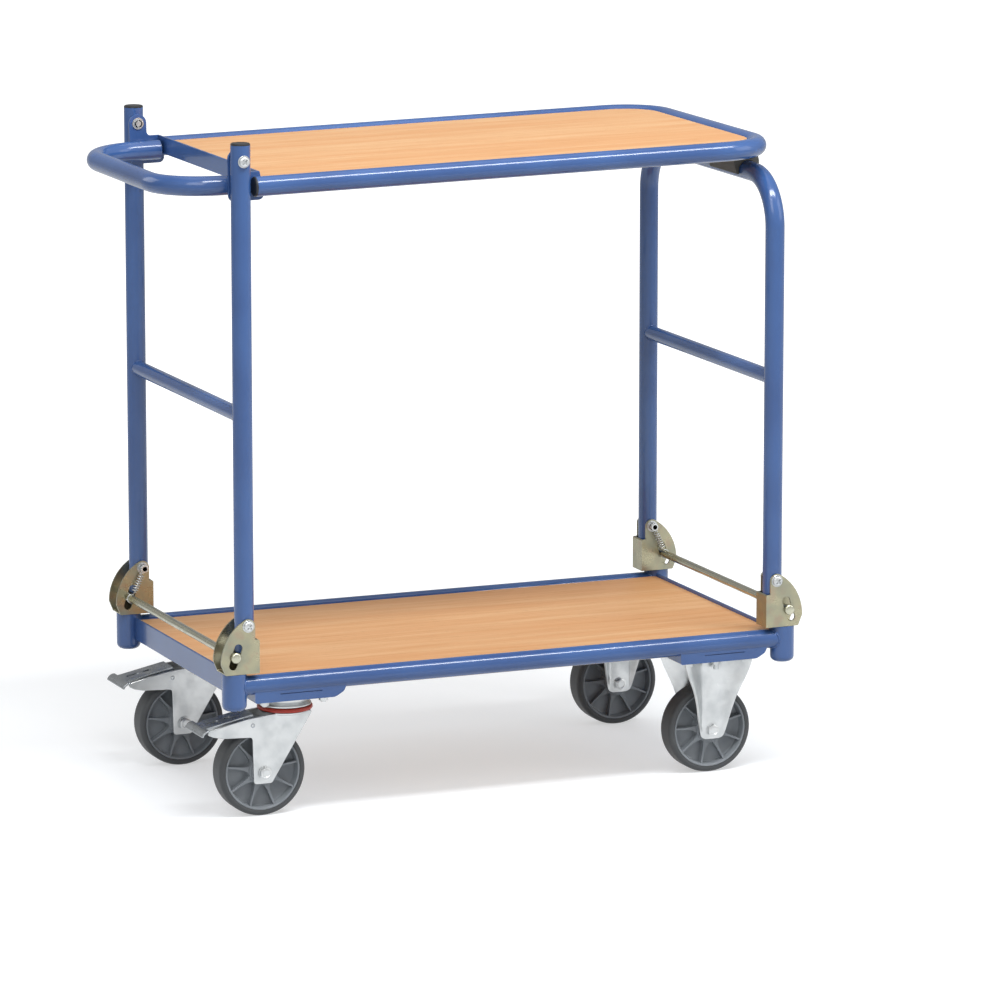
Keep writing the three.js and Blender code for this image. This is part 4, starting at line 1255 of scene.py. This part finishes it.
class EndFrames(Assembly[UprightSizes]):
    """The left uprights and the right hoop, each with a cross tube."""

    def build(self) -> None:
        """Makes both frames."""
        self.uprights()
        self.caps()
        self.deck_bolts()
        self.hoop()
        self.cross_tubes()

    def uprights(self) -> None:
        """Makes a left upright and copies it across."""
        size, bench, stock = self.sizes, self.bench, self.stock
        tube = bench.tube((0, 0, size.low), (0, 0, 1), [(size.top - size.low,)], stock.tube)
        bench.soften(tube, 0.4)
        places = self.pair(-stock.pivot_x, stock.pivot_y)
        self.spread(tube, places, "left_upright_{}", PAINT, "left_frame", "upright_{}")

    def caps(self) -> None:
        """Makes a moulded cap with a stem and copies it across."""
        size, bench, stock = self.sizes, self.bench, self.stock
        rim, top, wide = size.top + 0.2, size.cap, stock.tube
        stem = [(0, rim - 12), (10.6, rim - 12), (11.1, rim - 6), (11.1, rim), (wide - 0.1, rim)]
        crown = [(wide, rim + 0.5), (wide - 0.2, rim + 1.5), (wide - 1.4, top - 0.25), (wide - 3.5, top)]
        cap = bench.turned([*stem, *crown, (wide - 5.0, top - 0.5), (0, top - 0.5)], 48)
        places = self.pair(-stock.pivot_x, stock.pivot_y)
        self.spread(cap, places, "top_cap_{}", BLACK, "left_frame", "upright_cap_{}")

    def deck_bolts(self) -> None:
        """Makes the bolt that carries the upper deck and copies it across."""
        stock = self.stock
        bolt = self.pan_head(stock.tube, nut=18.3)
        places = self.pair(-stock.pivot_x, stock.pivot_y, self.sizes.deck_pivot)
        self.spread(bolt, places, "top_bolt_{}", ZINC, "left_frame", "deck_bolt_{}")

    def hoop(self) -> None:
        """Makes the right hoop from one bent tube."""
        size, bench, stock = self.sizes, self.bench, self.stock
        rise = size.crossbar_z - stock.bend - size.low
        route = bent_twice(rise, -90.0, stock.bend, stock.pivot_y, ALONG)
        hoop = bench.tube((stock.pivot_x, -stock.pivot_y, size.low), (0, 0, 1), route, stock.tube)
        bench.hand_over(hoop, "bent_hoop", PAINT, "right_frame", "right_hoop")

    def cross_tubes(self) -> None:
        """Makes a cross tube with a weld bead at each leg and copies it to both frames."""
        stock, height, radii = self.stock, self.sizes.cross_z, (self.stock.cross, self.stock.tube)
        tube = self.welded(ACROSS, stock.pivot_y, inset=7, height=height, radii=radii, bead=1.2, wall=1.5)
        self.spread(tube, self.ends(stock.pivot_x), "cross_tube_{}", PAINT, "{}_frame", "{}_cross_tube")


@dataclass
class DeckSizes:
    """Sizes of the upper deck, from its pivot and before it is tilted."""

    tilt: float = 0.9
    drop: float = 36.5
    start: float = 20.5
    reach: float = 786.0
    rise: float = 9.0
    panel: float = 10.0
    bar: float = 29.5
    bar_height: float = 24.0
    slats: tuple[float, ...] = (79.5, 329.5, 584.5)
    lug_inner: float = 197.0
    lug_outer: float = 201.0
    lug_reach: float = 38.0
    lug_drop: float = 57.0
    shoulder: float = 18.0
    handle_reach: float = 90.0
    handle_y: float = 183.2
    handle_bend: float = 80.0
    handle_start: float = 25.5
    clip_y: float = 80.0
    clip_half: float = 45.0
    crossbar: Flat = (788.86, -79.0)

    @property
    def top(self) -> float:
        """Height of the panel's top from the pivot."""
        return self.rise - self.drop


class UpperDeck(Assembly[DeckSizes]):
    """The upper deck with its handle, slats, lugs and clips."""

    def __init__(self, bench: Bench, stock: Stock, sizes: DeckSizes, pivot_z: float) -> None:
        """Keeps the deck sizes and the pivot that it hangs on."""
        super().__init__(bench, stock, sizes)
        place = Matrix.Translation((-stock.pivot_x, 0, pivot_z))
        self.pose = place @ Matrix.Rotation(-math.radians(sizes.tilt), 4, "Y")

    def fit(self, piece: Piece, name: str, finish: Finish, *nodes: str) -> None:
        """Tilts a piece into place and hands it over."""
        self.bench.move(piece, self.pose)
        self.bench.hand_over(piece, name, finish, "upper_deck", *nodes)

    def build(self) -> None:
        """Makes all pieces of the upper deck."""
        self.tube()
        self.panel()
        self.end_bar()
        self.handle()
        self.slats()
        self.lugs()
        self.plugs()
        self.clips()

    def fit_all(self, model: Piece, places: Places, name: str, finish: Finish, node: str) -> None:
        """Copies a piece to its places, tilts the copies with the deck and hands them over.

        Args:
            model: The modelled piece.
            places: Where the copies go, by their words.
            name: Start of their names.
            finish: What they are made of.
            node: Start of the nodes' names that they stand for.
        """
        for word, piece in self.bench.deal(model, places).items():
            self.fit(piece, f"{name}_{word}", finish, f"{node}_{word}")

    def tube(self) -> None:
        """Makes the tube round the deck."""
        size, bench, stock = self.sizes, self.bench, self.stock
        run = size.reach - stock.bend - size.start
        route = bent_twice(run, 90.0, stock.bend, stock.pivot_y, UP)
        tube = bench.tube((size.start, -stock.pivot_y, -size.drop), (1, 0, 0), route, stock.tube)
        self.fit(bench.soften(tube, 0.4), "deck_rim_tube", PAINT, "deck_tube")

    def panel(self) -> None:
        """Makes the upper panel with its two rounded corners."""
        size, bench, stock = self.sizes, self.bench, self.stock
        left = size.bar + 3.4
        right = size.reach - stock.tube - stock.seat
        half = stock.pivot_y - stock.tube - stock.seat
        corner = stock.bend - stock.tube - stock.seat
        outline = [
            (left, -half),
            *arc(right - corner, corner - half, corner, -90, 0, 16),
            *arc(right - corner, half - corner, corner, 0, 90, 16),
            (left, half),
        ]
        panel = bench.plate(outline, size.top - size.panel, size.top, Plane.XY)
        for row in Row:
            side = row.value
            ys = sorted((side * (size.lug_inner - 0.4), side * (size.lug_outer + 9)))
            bench.cut(panel, bench.block((20, ys[0], -70), (size.lug_reach + 0.6, ys[1], 0)))
        self.fit(bench.soften(panel, 0.4), "upper_board", BEECH, "deck_panel")

    def end_bar(self) -> None:
        """Makes the flat bar across the handle end."""
        size, bench = self.sizes, self.bench
        reach = size.lug_inner - 0.2
        low = (size.bar, -reach, -size.shoulder - size.bar_height)
        bar = bench.block(low, (size.bar + 3, reach, -size.shoulder))
        self.fit(bench.soften(bar, 0.6), "flat_end_bar", PAINT, "deck_end_bar")

    def handle(self) -> None:
        """Makes the push handle."""
        size, bench, stock = self.sizes, self.bench, self.stock
        run = size.handle_reach - size.handle_bend + size.handle_start
        route = bent_twice(run, -90.0, size.handle_bend, size.handle_y, UP)
        start = (size.handle_start, -size.handle_y, -size.drop)
        handle = bench.tube(start, (-1, 0, 0), route, stock.tube)
        beads = bench.deal(self.weld_run(), self.pair(0, size.lug_inner)).values()
        self.fit(bench.gather(handle, *beads), "push_handle", PAINT, "deck_handle")

    def weld_run(self) -> Piece:
        """Makes the weld beads that join the handle's far leg to its lug."""
        size, bench = self.sizes, self.bench
        beads = []
        steps, step, rise = 26, 1.15, 9.5
        for z in (-size.drop + rise, -size.drop - rise):
            path = [(size.handle_start - 1 - step * i, -1.6, z) for i in range(steps)]
            widths = [1.0 + 0.3 * math.sin(i * 2.1) for i in range(steps)]
            beads.append(bench.wire(path, 2.0, widths))
        return bench.gather(*beads)

    def slats(self) -> None:
        """Makes a flat bar under the panel and copies it along the deck."""
        size, bench, stock = self.sizes, self.bench, self.stock
        top = size.top - size.panel - stock.seat
        reach = stock.pivot_y - 11.6
        slat = bench.soften(bench.block((-12.5, -reach, top - 5), (12.5, reach, top)), 0.5)
        places = {str(i): Matrix.Translation((x, 0, 0)) for i, x in enumerate(size.slats, 1)}
        self.fit_all(slat, places, "flat_slat", PAINT, "deck_slat")

    def lugs(self) -> None:
        """Makes the lug plate between the pivot and the deck and copies it across."""
        size, bench = self.sizes, self.bench
        boss, corner = 12.8, 8.0
        low = corner - size.lug_drop
        outline = [
            *arc(0, 0, boss, 180, 0, 20),
            *arc(18.8, 6.0 - size.shoulder, 6.0, 180, 270, 5),
            (size.bar + 2.4, -size.shoulder),
            (size.bar + 3.0, -size.shoulder - 0.8),
            *arc(size.lug_reach - corner, low, corner, 0, -90, 6),
            *arc(corner - boss, low, corner, -90, -180, 6),
        ]
        lug = bench.plate(outline, 0, size.lug_outer - size.lug_inner, Plane.XZ)
        bench.drill(lug, self.stock.hole, reach=230)
        bench.soften(lug, 0.6)
        self.fit_all(lug, self.pair(0, size.lug_inner), "pivot_lug", PAINT, "deck_lug")

    def plugs(self) -> None:
        """Makes the black plug in the tube's open end and copies it across."""
        size, bench, stock = self.sizes, self.bench, self.stock
        wide = stock.tube
        stem = [(0, 12), (11.1, 12), (11.1, -0.2)]
        plug = bench.turned([*stem, (wide, -0.2), (wide, -1.6), (wide - 1.2, -2.9), (0, -2.9)], 48, "X")
        self.fit_all(plug, self.pair(size.start, stock.pivot_y, -size.drop), "tube_plug", BLACK, "deck_plug")

    def clips(self) -> None:
        """Makes a rubber saddle whose horns grip the hoop's crossbar and copies it across."""
        size, bench, stock = self.sizes, self.bench, self.stock
        bar_x, bar_z = size.crossbar
        brim, grip, lip, bite = size.top - size.panel - 0.4, 13.6, bar_z - 4.6, bar_z - 4.9
        left = [(size.reach - 18.2, brim, 2.0), (size.reach - 20.0, -58.0, 6.0), (bar_x - 20.5, -72.0, 8.0)]
        left_horn = [(bar_x - 17.5, lip, 1.2), (bar_x - grip, bite, 0.8), (bar_x - grip, bar_z + 6, 0.0)]
        right_horn = [(bar_x + grip, bar_z + 6, 0.0), (bar_x + grip, bite, 0.8), (bar_x + 16.2, lip, 1.2)]
        right = [(bar_x + 17.2, -66.0, 6.0), (size.reach + 16.6, -52.0, 5.0), (size.reach + 16.4, brim, 1.5)]
        outline = rounded([*left, *left_horn, *right_horn, *right], 4)
        clip = bench.plate(outline, -size.clip_half, size.clip_half, Plane.XZ)
        through = 200
        tubes = ((size.reach, -size.drop, stock.tube + 0.1), (bar_x, bar_z, stock.tube + 0.6))
        bench.cut(clip, *[bench.rod((x, -through, z), (x, through, z), radius) for x, z, radius in tubes])
        bench.soften(clip, 0.7, 2, 40)
        self.fit_all(clip, self.pair(0, size.clip_y), "saddle_clip", RUBBER, "snap_clip")


@dataclass
class CasterSizes:
    """Sizes of the casters, heights from the wheel's axle unless said otherwise."""

    x: float = 317.0
    y: float = 162.5
    radius: float = 62.5
    trail: float = 39.0
    half: float = 22.0
    sheet: float = 3.0
    crown: float = 82.5
    plate_top: float = 169.2
    plate_sheet: float = 3.5
    plate_half: Flat = (54.0, 47.0)
    bolts: Flat = (43.0, 36.0)
    seal_low: float = 145.3
    seal: float = 38.5
    spokes: int = 9
    rim: float = 54.3
    pin: Flat = (-17.0, 67.5)
    column: float = 15.5
    swivel_phase: float = 10.0
    fixed_phase: float = 17.0

    @property
    def face(self) -> float:
        """Distance of a fork's outer face from the wheel's middle plane."""
        return self.half + self.sheet

    @property
    def flange_floor(self) -> float:
        """Underside of the bolted plates, from the axle."""
        return self.plate_top - self.plate_sheet - self.radius


class Casters(Assembly[CasterSizes]):
    """Two braked swivel casters and two fixed ones."""

    def build(self) -> None:
        """Makes each part of a caster once and copies it to its places."""
        self.wheels(self.tyre(), TYRE, "rubber", "tyre")
        self.wheels(self.core(), RIM, "core", "rim")
        self.axles()
        self.heads()
        self.rings()
        self.forks()
        self.pedals()
        self.fixed_forks()

    def wheel_places(self, swivel: float = 0.0, fixed: float = 0.0) -> Places:
        """The middles of the four axles, by kind and row.

        Args:
            swivel: Degrees by which the swivel casters' wheels are turned.
            fixed: Degrees by which the fixed casters' wheels are turned.

        Returns:
            A matrix for each wheel.
        """
        size = self.sizes
        places = {}
        for row in Row:
            for kind, x, phase in (("swivel", -size.x - size.trail, swivel), ("fixed", size.x, fixed)):
                spot = Matrix.Translation((x, row.value * size.y, size.radius))
                places[f"{kind}_{row.word}"] = spot @ Matrix.Rotation(-math.radians(phase), 4, "Y")
        return places

    def wheels(self, model: Piece, finish: Finish, word: str, node: str) -> None:
        """Copies a part of a wheel to all four.

        Args:
            model: The part, made round the axle.
            finish: What it is made of.
            word: End of the copies' names.
            node: End of the nodes' names.
        """
        places = self.wheel_places(self.sizes.swivel_phase, self.sizes.fixed_phase)
        for name, piece in self.bench.deal(model, places).items():
            kind, row_word = name.split("_")
            body = f"{kind}_wheel_{row_word}"
            self.bench.hand_over(piece, f"{name}_{word}", finish, body, f"{name}_{node}")

    def tyre(self) -> Piece:
        """Makes a solid tyre with rounded shoulders."""
        inner = self.sizes.rim + 0.15
        shoulder = [(62.4, 12.0), (61.8, 14.4), (60.4, 16.2), (58.2, 17.3), (56.2, 17.5)]
        return self.bench.turned(both_ways([(62.5, 9.0), *shoulder, (inner, 17.0)]), 96, "Y")

    def core(self) -> Piece:
        """Makes the ribbed wheel body: hub, dished web, ribs and a thin bright rim."""
        size, bench = self.sizes, self.bench
        hub = [(5.6, 20.5), (16.6, 20.5), (17.6, 19.9), (17.8, 16.4), (19.4, 16.0), (20.0, 15.0), (20.6, 6.0)]
        web = [(22.6, 3.6), (46.5, 3.6), (49.6, 5.2), (51.2, 15.2), (51.8, 16.3)]
        half = [*hub, *web, (size.rim - 0.5, 16.6), (size.rim, 16.0)]
        core = bench.turned(both_ways(half), 96, "Y")
        rib = self.rib()
        turn = 2 * math.pi / size.spokes
        ribs = [bench.copied(rib, Matrix.Rotation(turn * i, 4, "Y")) for i in range(1, size.spokes)]
        return bench.gather(core, rib, *ribs)

    def rib(self) -> Piece:
        """Makes one rib that widens towards the hub and stands on both faces of the web."""
        bench = self.bench
        root, tip = 18.6, 51.9
        widths = [(root, 5.6), (22.0, 4.0), (27.0, 2.5), (33.0, 1.75), (42.0, 1.4), (tip, 1.3)]
        rib = bench.plate(both_ways(widths), -1.0, 1.0, Plane.XZ)
        high, sag = 14.8, 2.6
        for vertex in rib.data.vertices:
            share = (vertex.co.x - root) / (tip - root)
            vertex.co.y *= high - sag * math.sin(math.pi * min(1.0, share))
        return bench.soften(rib, 0.6)

    def axles(self) -> None:
        """Makes an axle bolt with a domed hexagon at each end and copies it to the wheels."""
        size, bench = self.sizes, self.bench
        face = size.face + 0.3
        washer = bench.soften(bench.pin(face, face + 1.2, 9.8), 0.35)
        head = bench.pin(face + 1.2, face + 6.4, 8.9, 6)
        dome = [(0, 0), (9.2, 0), (9.2, 3.0), (8.4, 4.6), (6.6, 5.5), (5.2, 5.7), (4.6, 5.2), (0, 5.2)]
        cone = bench.shift(bench.turned(dome, 48, "Y"), 0, face + 0.6)
        bench.cut(head, cone, operation="INTERSECT")
        end = bench.gather(washer, bench.soften(head, 0.25))
        other = bench.copied(end, HALF_TURN)
        shank = bench.pin(-face - 0.2, face + 0.2, 5.0, 32)
        axle = bench.gather(shank, end, other)
        for name, piece in bench.deal(axle, self.wheel_places()).items():
            body = name if name.startswith("swivel") else "chassis"
            bench.hand_over(piece, f"{name}_axle_bolt", ZINC, body, f"{name}_axle")

    def plate_bolts(self, floor: float) -> list[Piece]:
        """Makes a nut below a corner of the bolted plate and copies it to the others."""
        nut = self.hex_bolt((0, 0, floor), drop=8.0, radius=6.6)
        return list(self.bench.deal(nut, self.corners(*self.sizes.bolts)).values())

    def plate(self, floor: float) -> Piece:
        """Makes the plate that is bolted under a channel."""
        size, bench = self.sizes, self.bench
        half_x, half_y = size.plate_half
        signs = ((-1, -1), (1, -1), (1, 1), (-1, 1))
        outline = rounded([(i * half_x, j * half_y, 9.0) for i, j in signs])
        return bench.soften(bench.plate(outline, floor, floor + size.plate_sheet, Plane.XY), 0.8, 3)

    def heads(self) -> None:
        """Makes the bolted top plate with its race cup and king pin, and copies it across."""
        size, bench = self.sizes, self.bench
        floor = size.flange_floor + size.radius
        top = size.seal_low + 6.2
        cup = [(0, top), (30.0, top), (35.0, top), (36.2, top + 0.7), (36.4, top + 2.2), (35.2, top + 3.6)]
        neck = [(33.2, top + 5.0), (32.2, top + 8.0), (32.6, floor - 3.0), (34.6, floor - 0.6)]
        race = bench.turned([*cup, *neck, (35.4, floor + 0.5), (0, floor + 0.5)], 72)
        pin = bench.soften(bench.rod((0, 0, size.radius + 76.5), (0, 0, top + 1), 6.0), 0.5)
        head = bench.gather(self.plate(floor), race, pin, *self.plate_bolts(floor))
        self.spread(head, self.pair(-size.x, size.y), "swivel_head_{}", ZINC, "chassis", "swivel_top_{}")

    def rings(self) -> None:
        """Makes the red dust ring and copies it across."""
        size, bench = self.sizes, self.bench
        low, wide = size.seal_low, size.seal
        bore = 30.6
        lower = [(bore, low + 0.2), (wide - 3.2, low), (wide - 1.0, low + 0.5), (wide - 0.1, low + 1.8)]
        upper = [(wide, low + 3.6), (wide - 0.7, low + 5.2), (wide - 2.4, low + 6.0), (bore, low + 6.0)]
        ring = bench.turned([*lower, *upper], 72)
        self.spread(ring, self.pair(-size.x, size.y), "red_ring_{}", SEAL, "chassis", "dust_seal_{}")

    def forks(self) -> None:
        """Makes the swivel fork and copies it: two pressed sides, folded rims and a crown."""
        size, bench = self.sizes, self.bench
        trail, crown = size.trail, size.crown
        foot = [(-15.8, -15.5, 4.5), (10.4, -15.5, 5.0)]
        back = [(trail + 32.0, crown, 2.5), (14.6, 80.9, 40.0), (-25.0, 76.6, 70.0), (-50.5, 71.3, 60.0)]
        arm = [(-81.2, 63.6, 1.2), (-82.6, 59.4, 2.5), (-73.5, 55.2, 8.0), (-60.0, 52.4, 30.0)]
        outline = rounded([*foot, *back, *arm, (-17.7, 50.5, 4.0)], 8)
        side = bench.plate(outline, size.half, size.face, Plane.XZ)
        bench.drill(side, radius=5.3, reach=60)
        bench.soften(side, 1.0, 3)
        rim = [(x, size.half + 1.4, z - 0.7) for x, z in outline if z > 62.0 and x < 40.0]
        side = bench.gather(side, bench.wire(rim, 1.75))
        other = bench.copied(side, MIRRORED)
        width = size.face - 0.8
        bore, wide, low, high = 6.6, 31.0, crown - 4, crown + 0.2
        bridge = bench.block((trail - 18, -width, low), (trail + 29, width, crown))
        lip = [(33.6, crown - 2.8), (34.0, crown - 0.9)]
        dish = [(bore, low), (wide, low), *lip, (wide, high), (bore, high)]
        disc = bench.shift(bench.turned(dish, 72), trail)
        fork = bench.gather(side, other, bench.soften(bridge, 0.6), disc)
        places = self.pair(-size.x - trail, size.y, size.radius)
        self.spread(fork, places, "pressed_fork_{}", ZINC, "swivel_{}", "swivel_fork_{}")

    def pedals(self) -> None:
        """Makes the brake pedal with its slot, window and curled lip, and copies it across."""
        size, bench = self.sizes, self.bench
        root = (-14.0, 79.9)
        run, drop = 69.5, 14.4
        length = math.hypot(run, drop)
        half, sheet = 20.0, 2.6
        outline = rounded([(-length, -half, 1.0), (0, -half, 2.0), (0, half, 2.0), (-length, half, 1.0)])
        plate = bench.plate(outline, 0, sheet, Plane.XY)
        slot = rounded([(-64, -3.4, 3.3), (-45, -3.4, 3.3), (-45, 3.4, 3.3), (-64, 3.4, 3.3)])
        window = rounded([(-40, -1.4, 1.0), (-27, -6.0, 1.2), (-27, 6.0, 1.2), (-40, 1.4, 1.0)])
        for hole in (slot, window):
            bench.cut(plate, bench.plate(hole, -5, 8, Plane.XY))
        bench.soften(plate, 0.6)
        tilt = Matrix.Rotation(-math.atan2(drop, run), 4, "Y")
        bench.move(plate, Matrix.Translation((root[0], 0, root[1])) @ tilt)
        curl, lip_half = (-84.0, 56.9), 35.0
        section = [*arc(*curl, 11.0, 82, 168, 9), *arc(*curl, 8.4, 168, 82, 9)]
        lip = bench.soften(bench.plate(section, -lip_half, lip_half, Plane.XZ), 1.1, 3)
        outline = rounded([(-26.0, 63.5, 4.0), (-12.5, 63.5, 4.0), (-12.5, 80.4, 1.0), (-29.0, 76.9, 1.0)])
        ear = bench.soften(bench.plate(outline, 17.2, half, Plane.XZ), 0.4)
        other = bench.copied(ear, MIRRORED)
        reach = size.face + 0.7
        edge = reach - 0.5
        sleeve = [(1.7, -reach), (2.7, -reach), (3.1, -edge), (3.1, edge), (2.7, reach), (1.7, reach)]
        pin = bench.shift(bench.turned(sleeve, 40, "Y"), size.pin[0], 0, size.pin[1])
        pedal = bench.gather(plate, lip, ear, other, pin)
        places = self.pair(-size.x - size.trail, size.y, size.radius)
        self.spread(pedal, places, "foot_pedal_{}", PEDAL, "brake_{}", "brake_pedal_{}")

    def fixed_side(self) -> Piece:
        """Makes a fixed fork's side: a flat column and two wings that flare towards the top.

        Returns:
            The far side.
        """
        size, bench = self.sizes, self.bench
        floor = size.flange_floor
        foot = [(-12.4, 10.5, 25.0), (-11.0, 15.0, 25.0), (-8.0, 17.8, 25.0), (-2.0, 19.6, 26.2)]
        column = [(8.0, 21.4, 29.0), (17.5, 23.3, 31.0), (27.0, 25.2, 33.4), (37.5, 27.4, 36.0)]
        flare = [(52.5, 31.7, 39.0), (67.5, 37.6, 43.0), (77.5, 42.4, 44.0), (87.5, 47.0, 45.0)]
        levels = [*foot, *column, *flare, (floor + 0.8, 52.5, 46.3)]
        columns, rows, bulge = 30, len(levels) - 1, 0.9
        bpy.ops.mesh.primitive_grid_add(x_subdivisions=columns, y_subdivisions=rows, size=2)
        sheet = bpy.context.object
        for vertex in sheet.data.vertices:
            height, half, out = levels[round((vertex.co.y + 1) / 2 * rows)]
            across = vertex.co.x * half
            flat = min(size.column, half - 2.0)
            share = max(0.0, (abs(across) - flat) / (half - flat))
            rise = share * share * (3 - 2 * share) * 0.55 + share * 0.45
            belly = bulge * math.cos(math.pi / 2 * min(1.0, abs(across) / flat))
            vertex.co = (across, size.face - bulge + belly + (out - size.face) * rise, height)
        bench.modify(sheet, "SUBSURF", levels=1, render_levels=1)
        with bench.editing(sheet):
            bpy.ops.mesh.normals_make_consistent(inside=False)
        bench.modify(sheet, "SOLIDIFY", thickness=2.6, offset=-1)
        bench.face_out(sheet)
        low = min(v.co.y for v in sheet.data.vertices)
        bench.shift(sheet, 0, size.half + 0.4 - low)
        return bench.soften(sheet, 0.7, 3, 50)

    def fixed_forks(self) -> None:
        """Makes the fixed fork under its bolted flange and copies it across."""
        size, bench = self.sizes, self.bench
        floor = size.flange_floor
        side = self.fixed_side()
        other = bench.copied(side, HALF_TURN)
        bolts = [self.hex_bolt((0, row.value * size.bolts[1], floor), drop=13.0, radius=6.8) for row in Row]
        fork = bench.gather(side, other, self.plate(floor), *bolts, *self.plate_bolts(floor))
        places = self.pair(size.x, size.y, size.radius)
        self.spread(fork, places, "fluted_fork_{}", ZINC, "chassis", "fixed_fork_{}")


@dataclass(frozen=True)
class Lamp:
    """One area lamp: its place, edges and the X it points at in metres, its power in watts."""

    place: Solid
    edges: Flat
    power: float
    aim_x: float = 0.0


@dataclass
class StudioSizes:
    """Camera and lamp settings, in metres and degrees."""

    camera: Solid = (-3.2678 + SHIFT * MM, -7.9968, 2.0533)
    azimuth: float = 22.6604
    elevation: float = 10.9448
    lens: float = 224.96
    aim_height: float = 0.45
    floor_tone: Solid = (0.54, 0.56, 0.58)
    sky: float = 0.4
    floor_lift: float = 0.5
    mirror: float = 0.9
    mirror_back: float = 0.4
    mirror_floor: float = 0.65
    lamps: tuple[Lamp, ...] = (
        Lamp((-2.6, -3.0, 3.4), (2.2, 2.2), 45.0),
        Lamp((3.2, -2.2, 2.2), (2.2, 2.2), 26.0),
        Lamp((0.2, 0.6, 4.0), (2.6, 2.6), 16.0),
        Lamp((0.4, -1.7, 3.6), (3.2, 0.6), 130.0, 0.4),
        Lamp((-3.0, 2.6, 2.4), (2.2, 2.2), 30.0),
    )


class Studio:
    """Camera, floor, sky and soft lamps."""

    def __init__(self, sizes: StudioSizes) -> None:
        """Keeps the settings."""
        self.sizes = sizes

    def build(self) -> None:
        """Sets up the whole studio."""
        self.camera()
        self.floor()
        self.sky()
        for number, lamp in enumerate(self.sizes.lamps, 1):
            self.lamp(number, lamp)
        bpy.context.scene.view_settings.view_transform = "Standard"

    def camera(self) -> None:
        """Places the camera at the photograph's viewing angle."""
        size = self.sizes
        bpy.ops.object.camera_add(location=size.camera)
        camera = bpy.context.object
        camera.rotation_euler = (math.radians(90 - size.elevation), 0, -math.radians(size.azimuth))
        camera.data.lens = size.lens
        camera.data.sensor_width = 36.0
        camera.data.clip_end = 100.0
        bpy.context.scene.camera = camera

    def floor(self) -> None:
        """Lays a pale floor that fades to white away from the trolley and keeps its shadow."""
        bpy.ops.mesh.primitive_plane_add(size=60)
        floor = bpy.context.object
        floor.name = "studio_floor"
        graph = Graph(bpy.data.materials.new("pale_floor"))
        graph.feed("Base Color", (*self.sizes.floor_tone, 1.0))
        graph.feed("Roughness", 0.9)
        graph.feed("Specular IOR Level", 0.1)
        graph.feed("Emission Strength", 1.0)
        distance = graph.node("ShaderNodeVectorMath", {"operation": "LENGTH"}, {0: graph.place}, 1)
        lift = self.sizes.floor_lift + distance.between(0.8, 2.6) * (1.0 - self.sizes.floor_lift)
        behind = graph.across(graph.place).between(0.3, 1.4)
        mirrored = graph.ray("glossy") * self.reflected(behind) * self.sizes.mirror_floor
        graph.feed("Emission Color", graph.ray("camera") * lift + mirrored)
        floor.data.materials.append(graph.owner)

    def reflected(self, behind: Signal) -> Signal:
        """Brightness in reflections, lower towards the back of the trolley.

        Args:
            behind: Share of the way from the front to the back.

        Returns:
            The brightness.
        """
        size = self.sizes
        return size.mirror - behind * (size.mirror - size.mirror_back)

    def sky(self) -> None:
        """Makes a surround that is seen white, lights softly and is dimmer in reflections."""
        world = bpy.data.worlds.new("white_surround")
        bpy.context.scene.world = world
        graph = Graph(world)
        way = graph.node("ShaderNodeTexCoord", {}, {}, "Generated")
        behind = graph.across(way).between(-0.3, 0.4)
        camera, glossy = graph.ray("camera"), graph.ray("glossy")
        soft = (1.0 - camera - glossy) * self.sizes.sky
        graph.feed("Color", camera + glossy * self.reflected(behind) + soft)

    def lamp(self, number: int, lamp: Lamp) -> None:
        """Hangs one area lamp that points at the trolley.

        Args:
            number: Its number, for its name.
            lamp: Its place, edges and power.
        """
        bpy.ops.object.light_add(type="AREA", location=lamp.place)
        light = bpy.context.object
        light.name = f"soft_lamp_{number}"
        light.data.shape = "RECTANGLE"
        light.data.size, light.data.size_y = lamp.edges
        light.data.energy = lamp.power
        aim = Vector((lamp.aim_x, 0.0, self.sizes.aim_height)) - Vector(lamp.place)
        light.rotation_euler = aim.to_track_quat("-Z", "Y").to_euler()


def main() -> None:
    """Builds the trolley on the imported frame."""
    logging.basicConfig(level=logging.INFO, format="%(name)s: %(message)s")
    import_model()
    bench, stock = Bench(), Stock()
    Studio(StudioSizes()).build()
    LowerDeck(bench, stock, LowerFrame()).build()
    Hinges(bench, stock, BracketSizes()).build()
    uprights = UprightSizes()
    EndFrames(bench, stock, uprights).build()
    UpperDeck(bench, stock, DeckSizes(), uprights.deck_pivot).build()
    Casters(bench, stock, CasterSizes()).build()


if __name__ == "__main__":
    main()
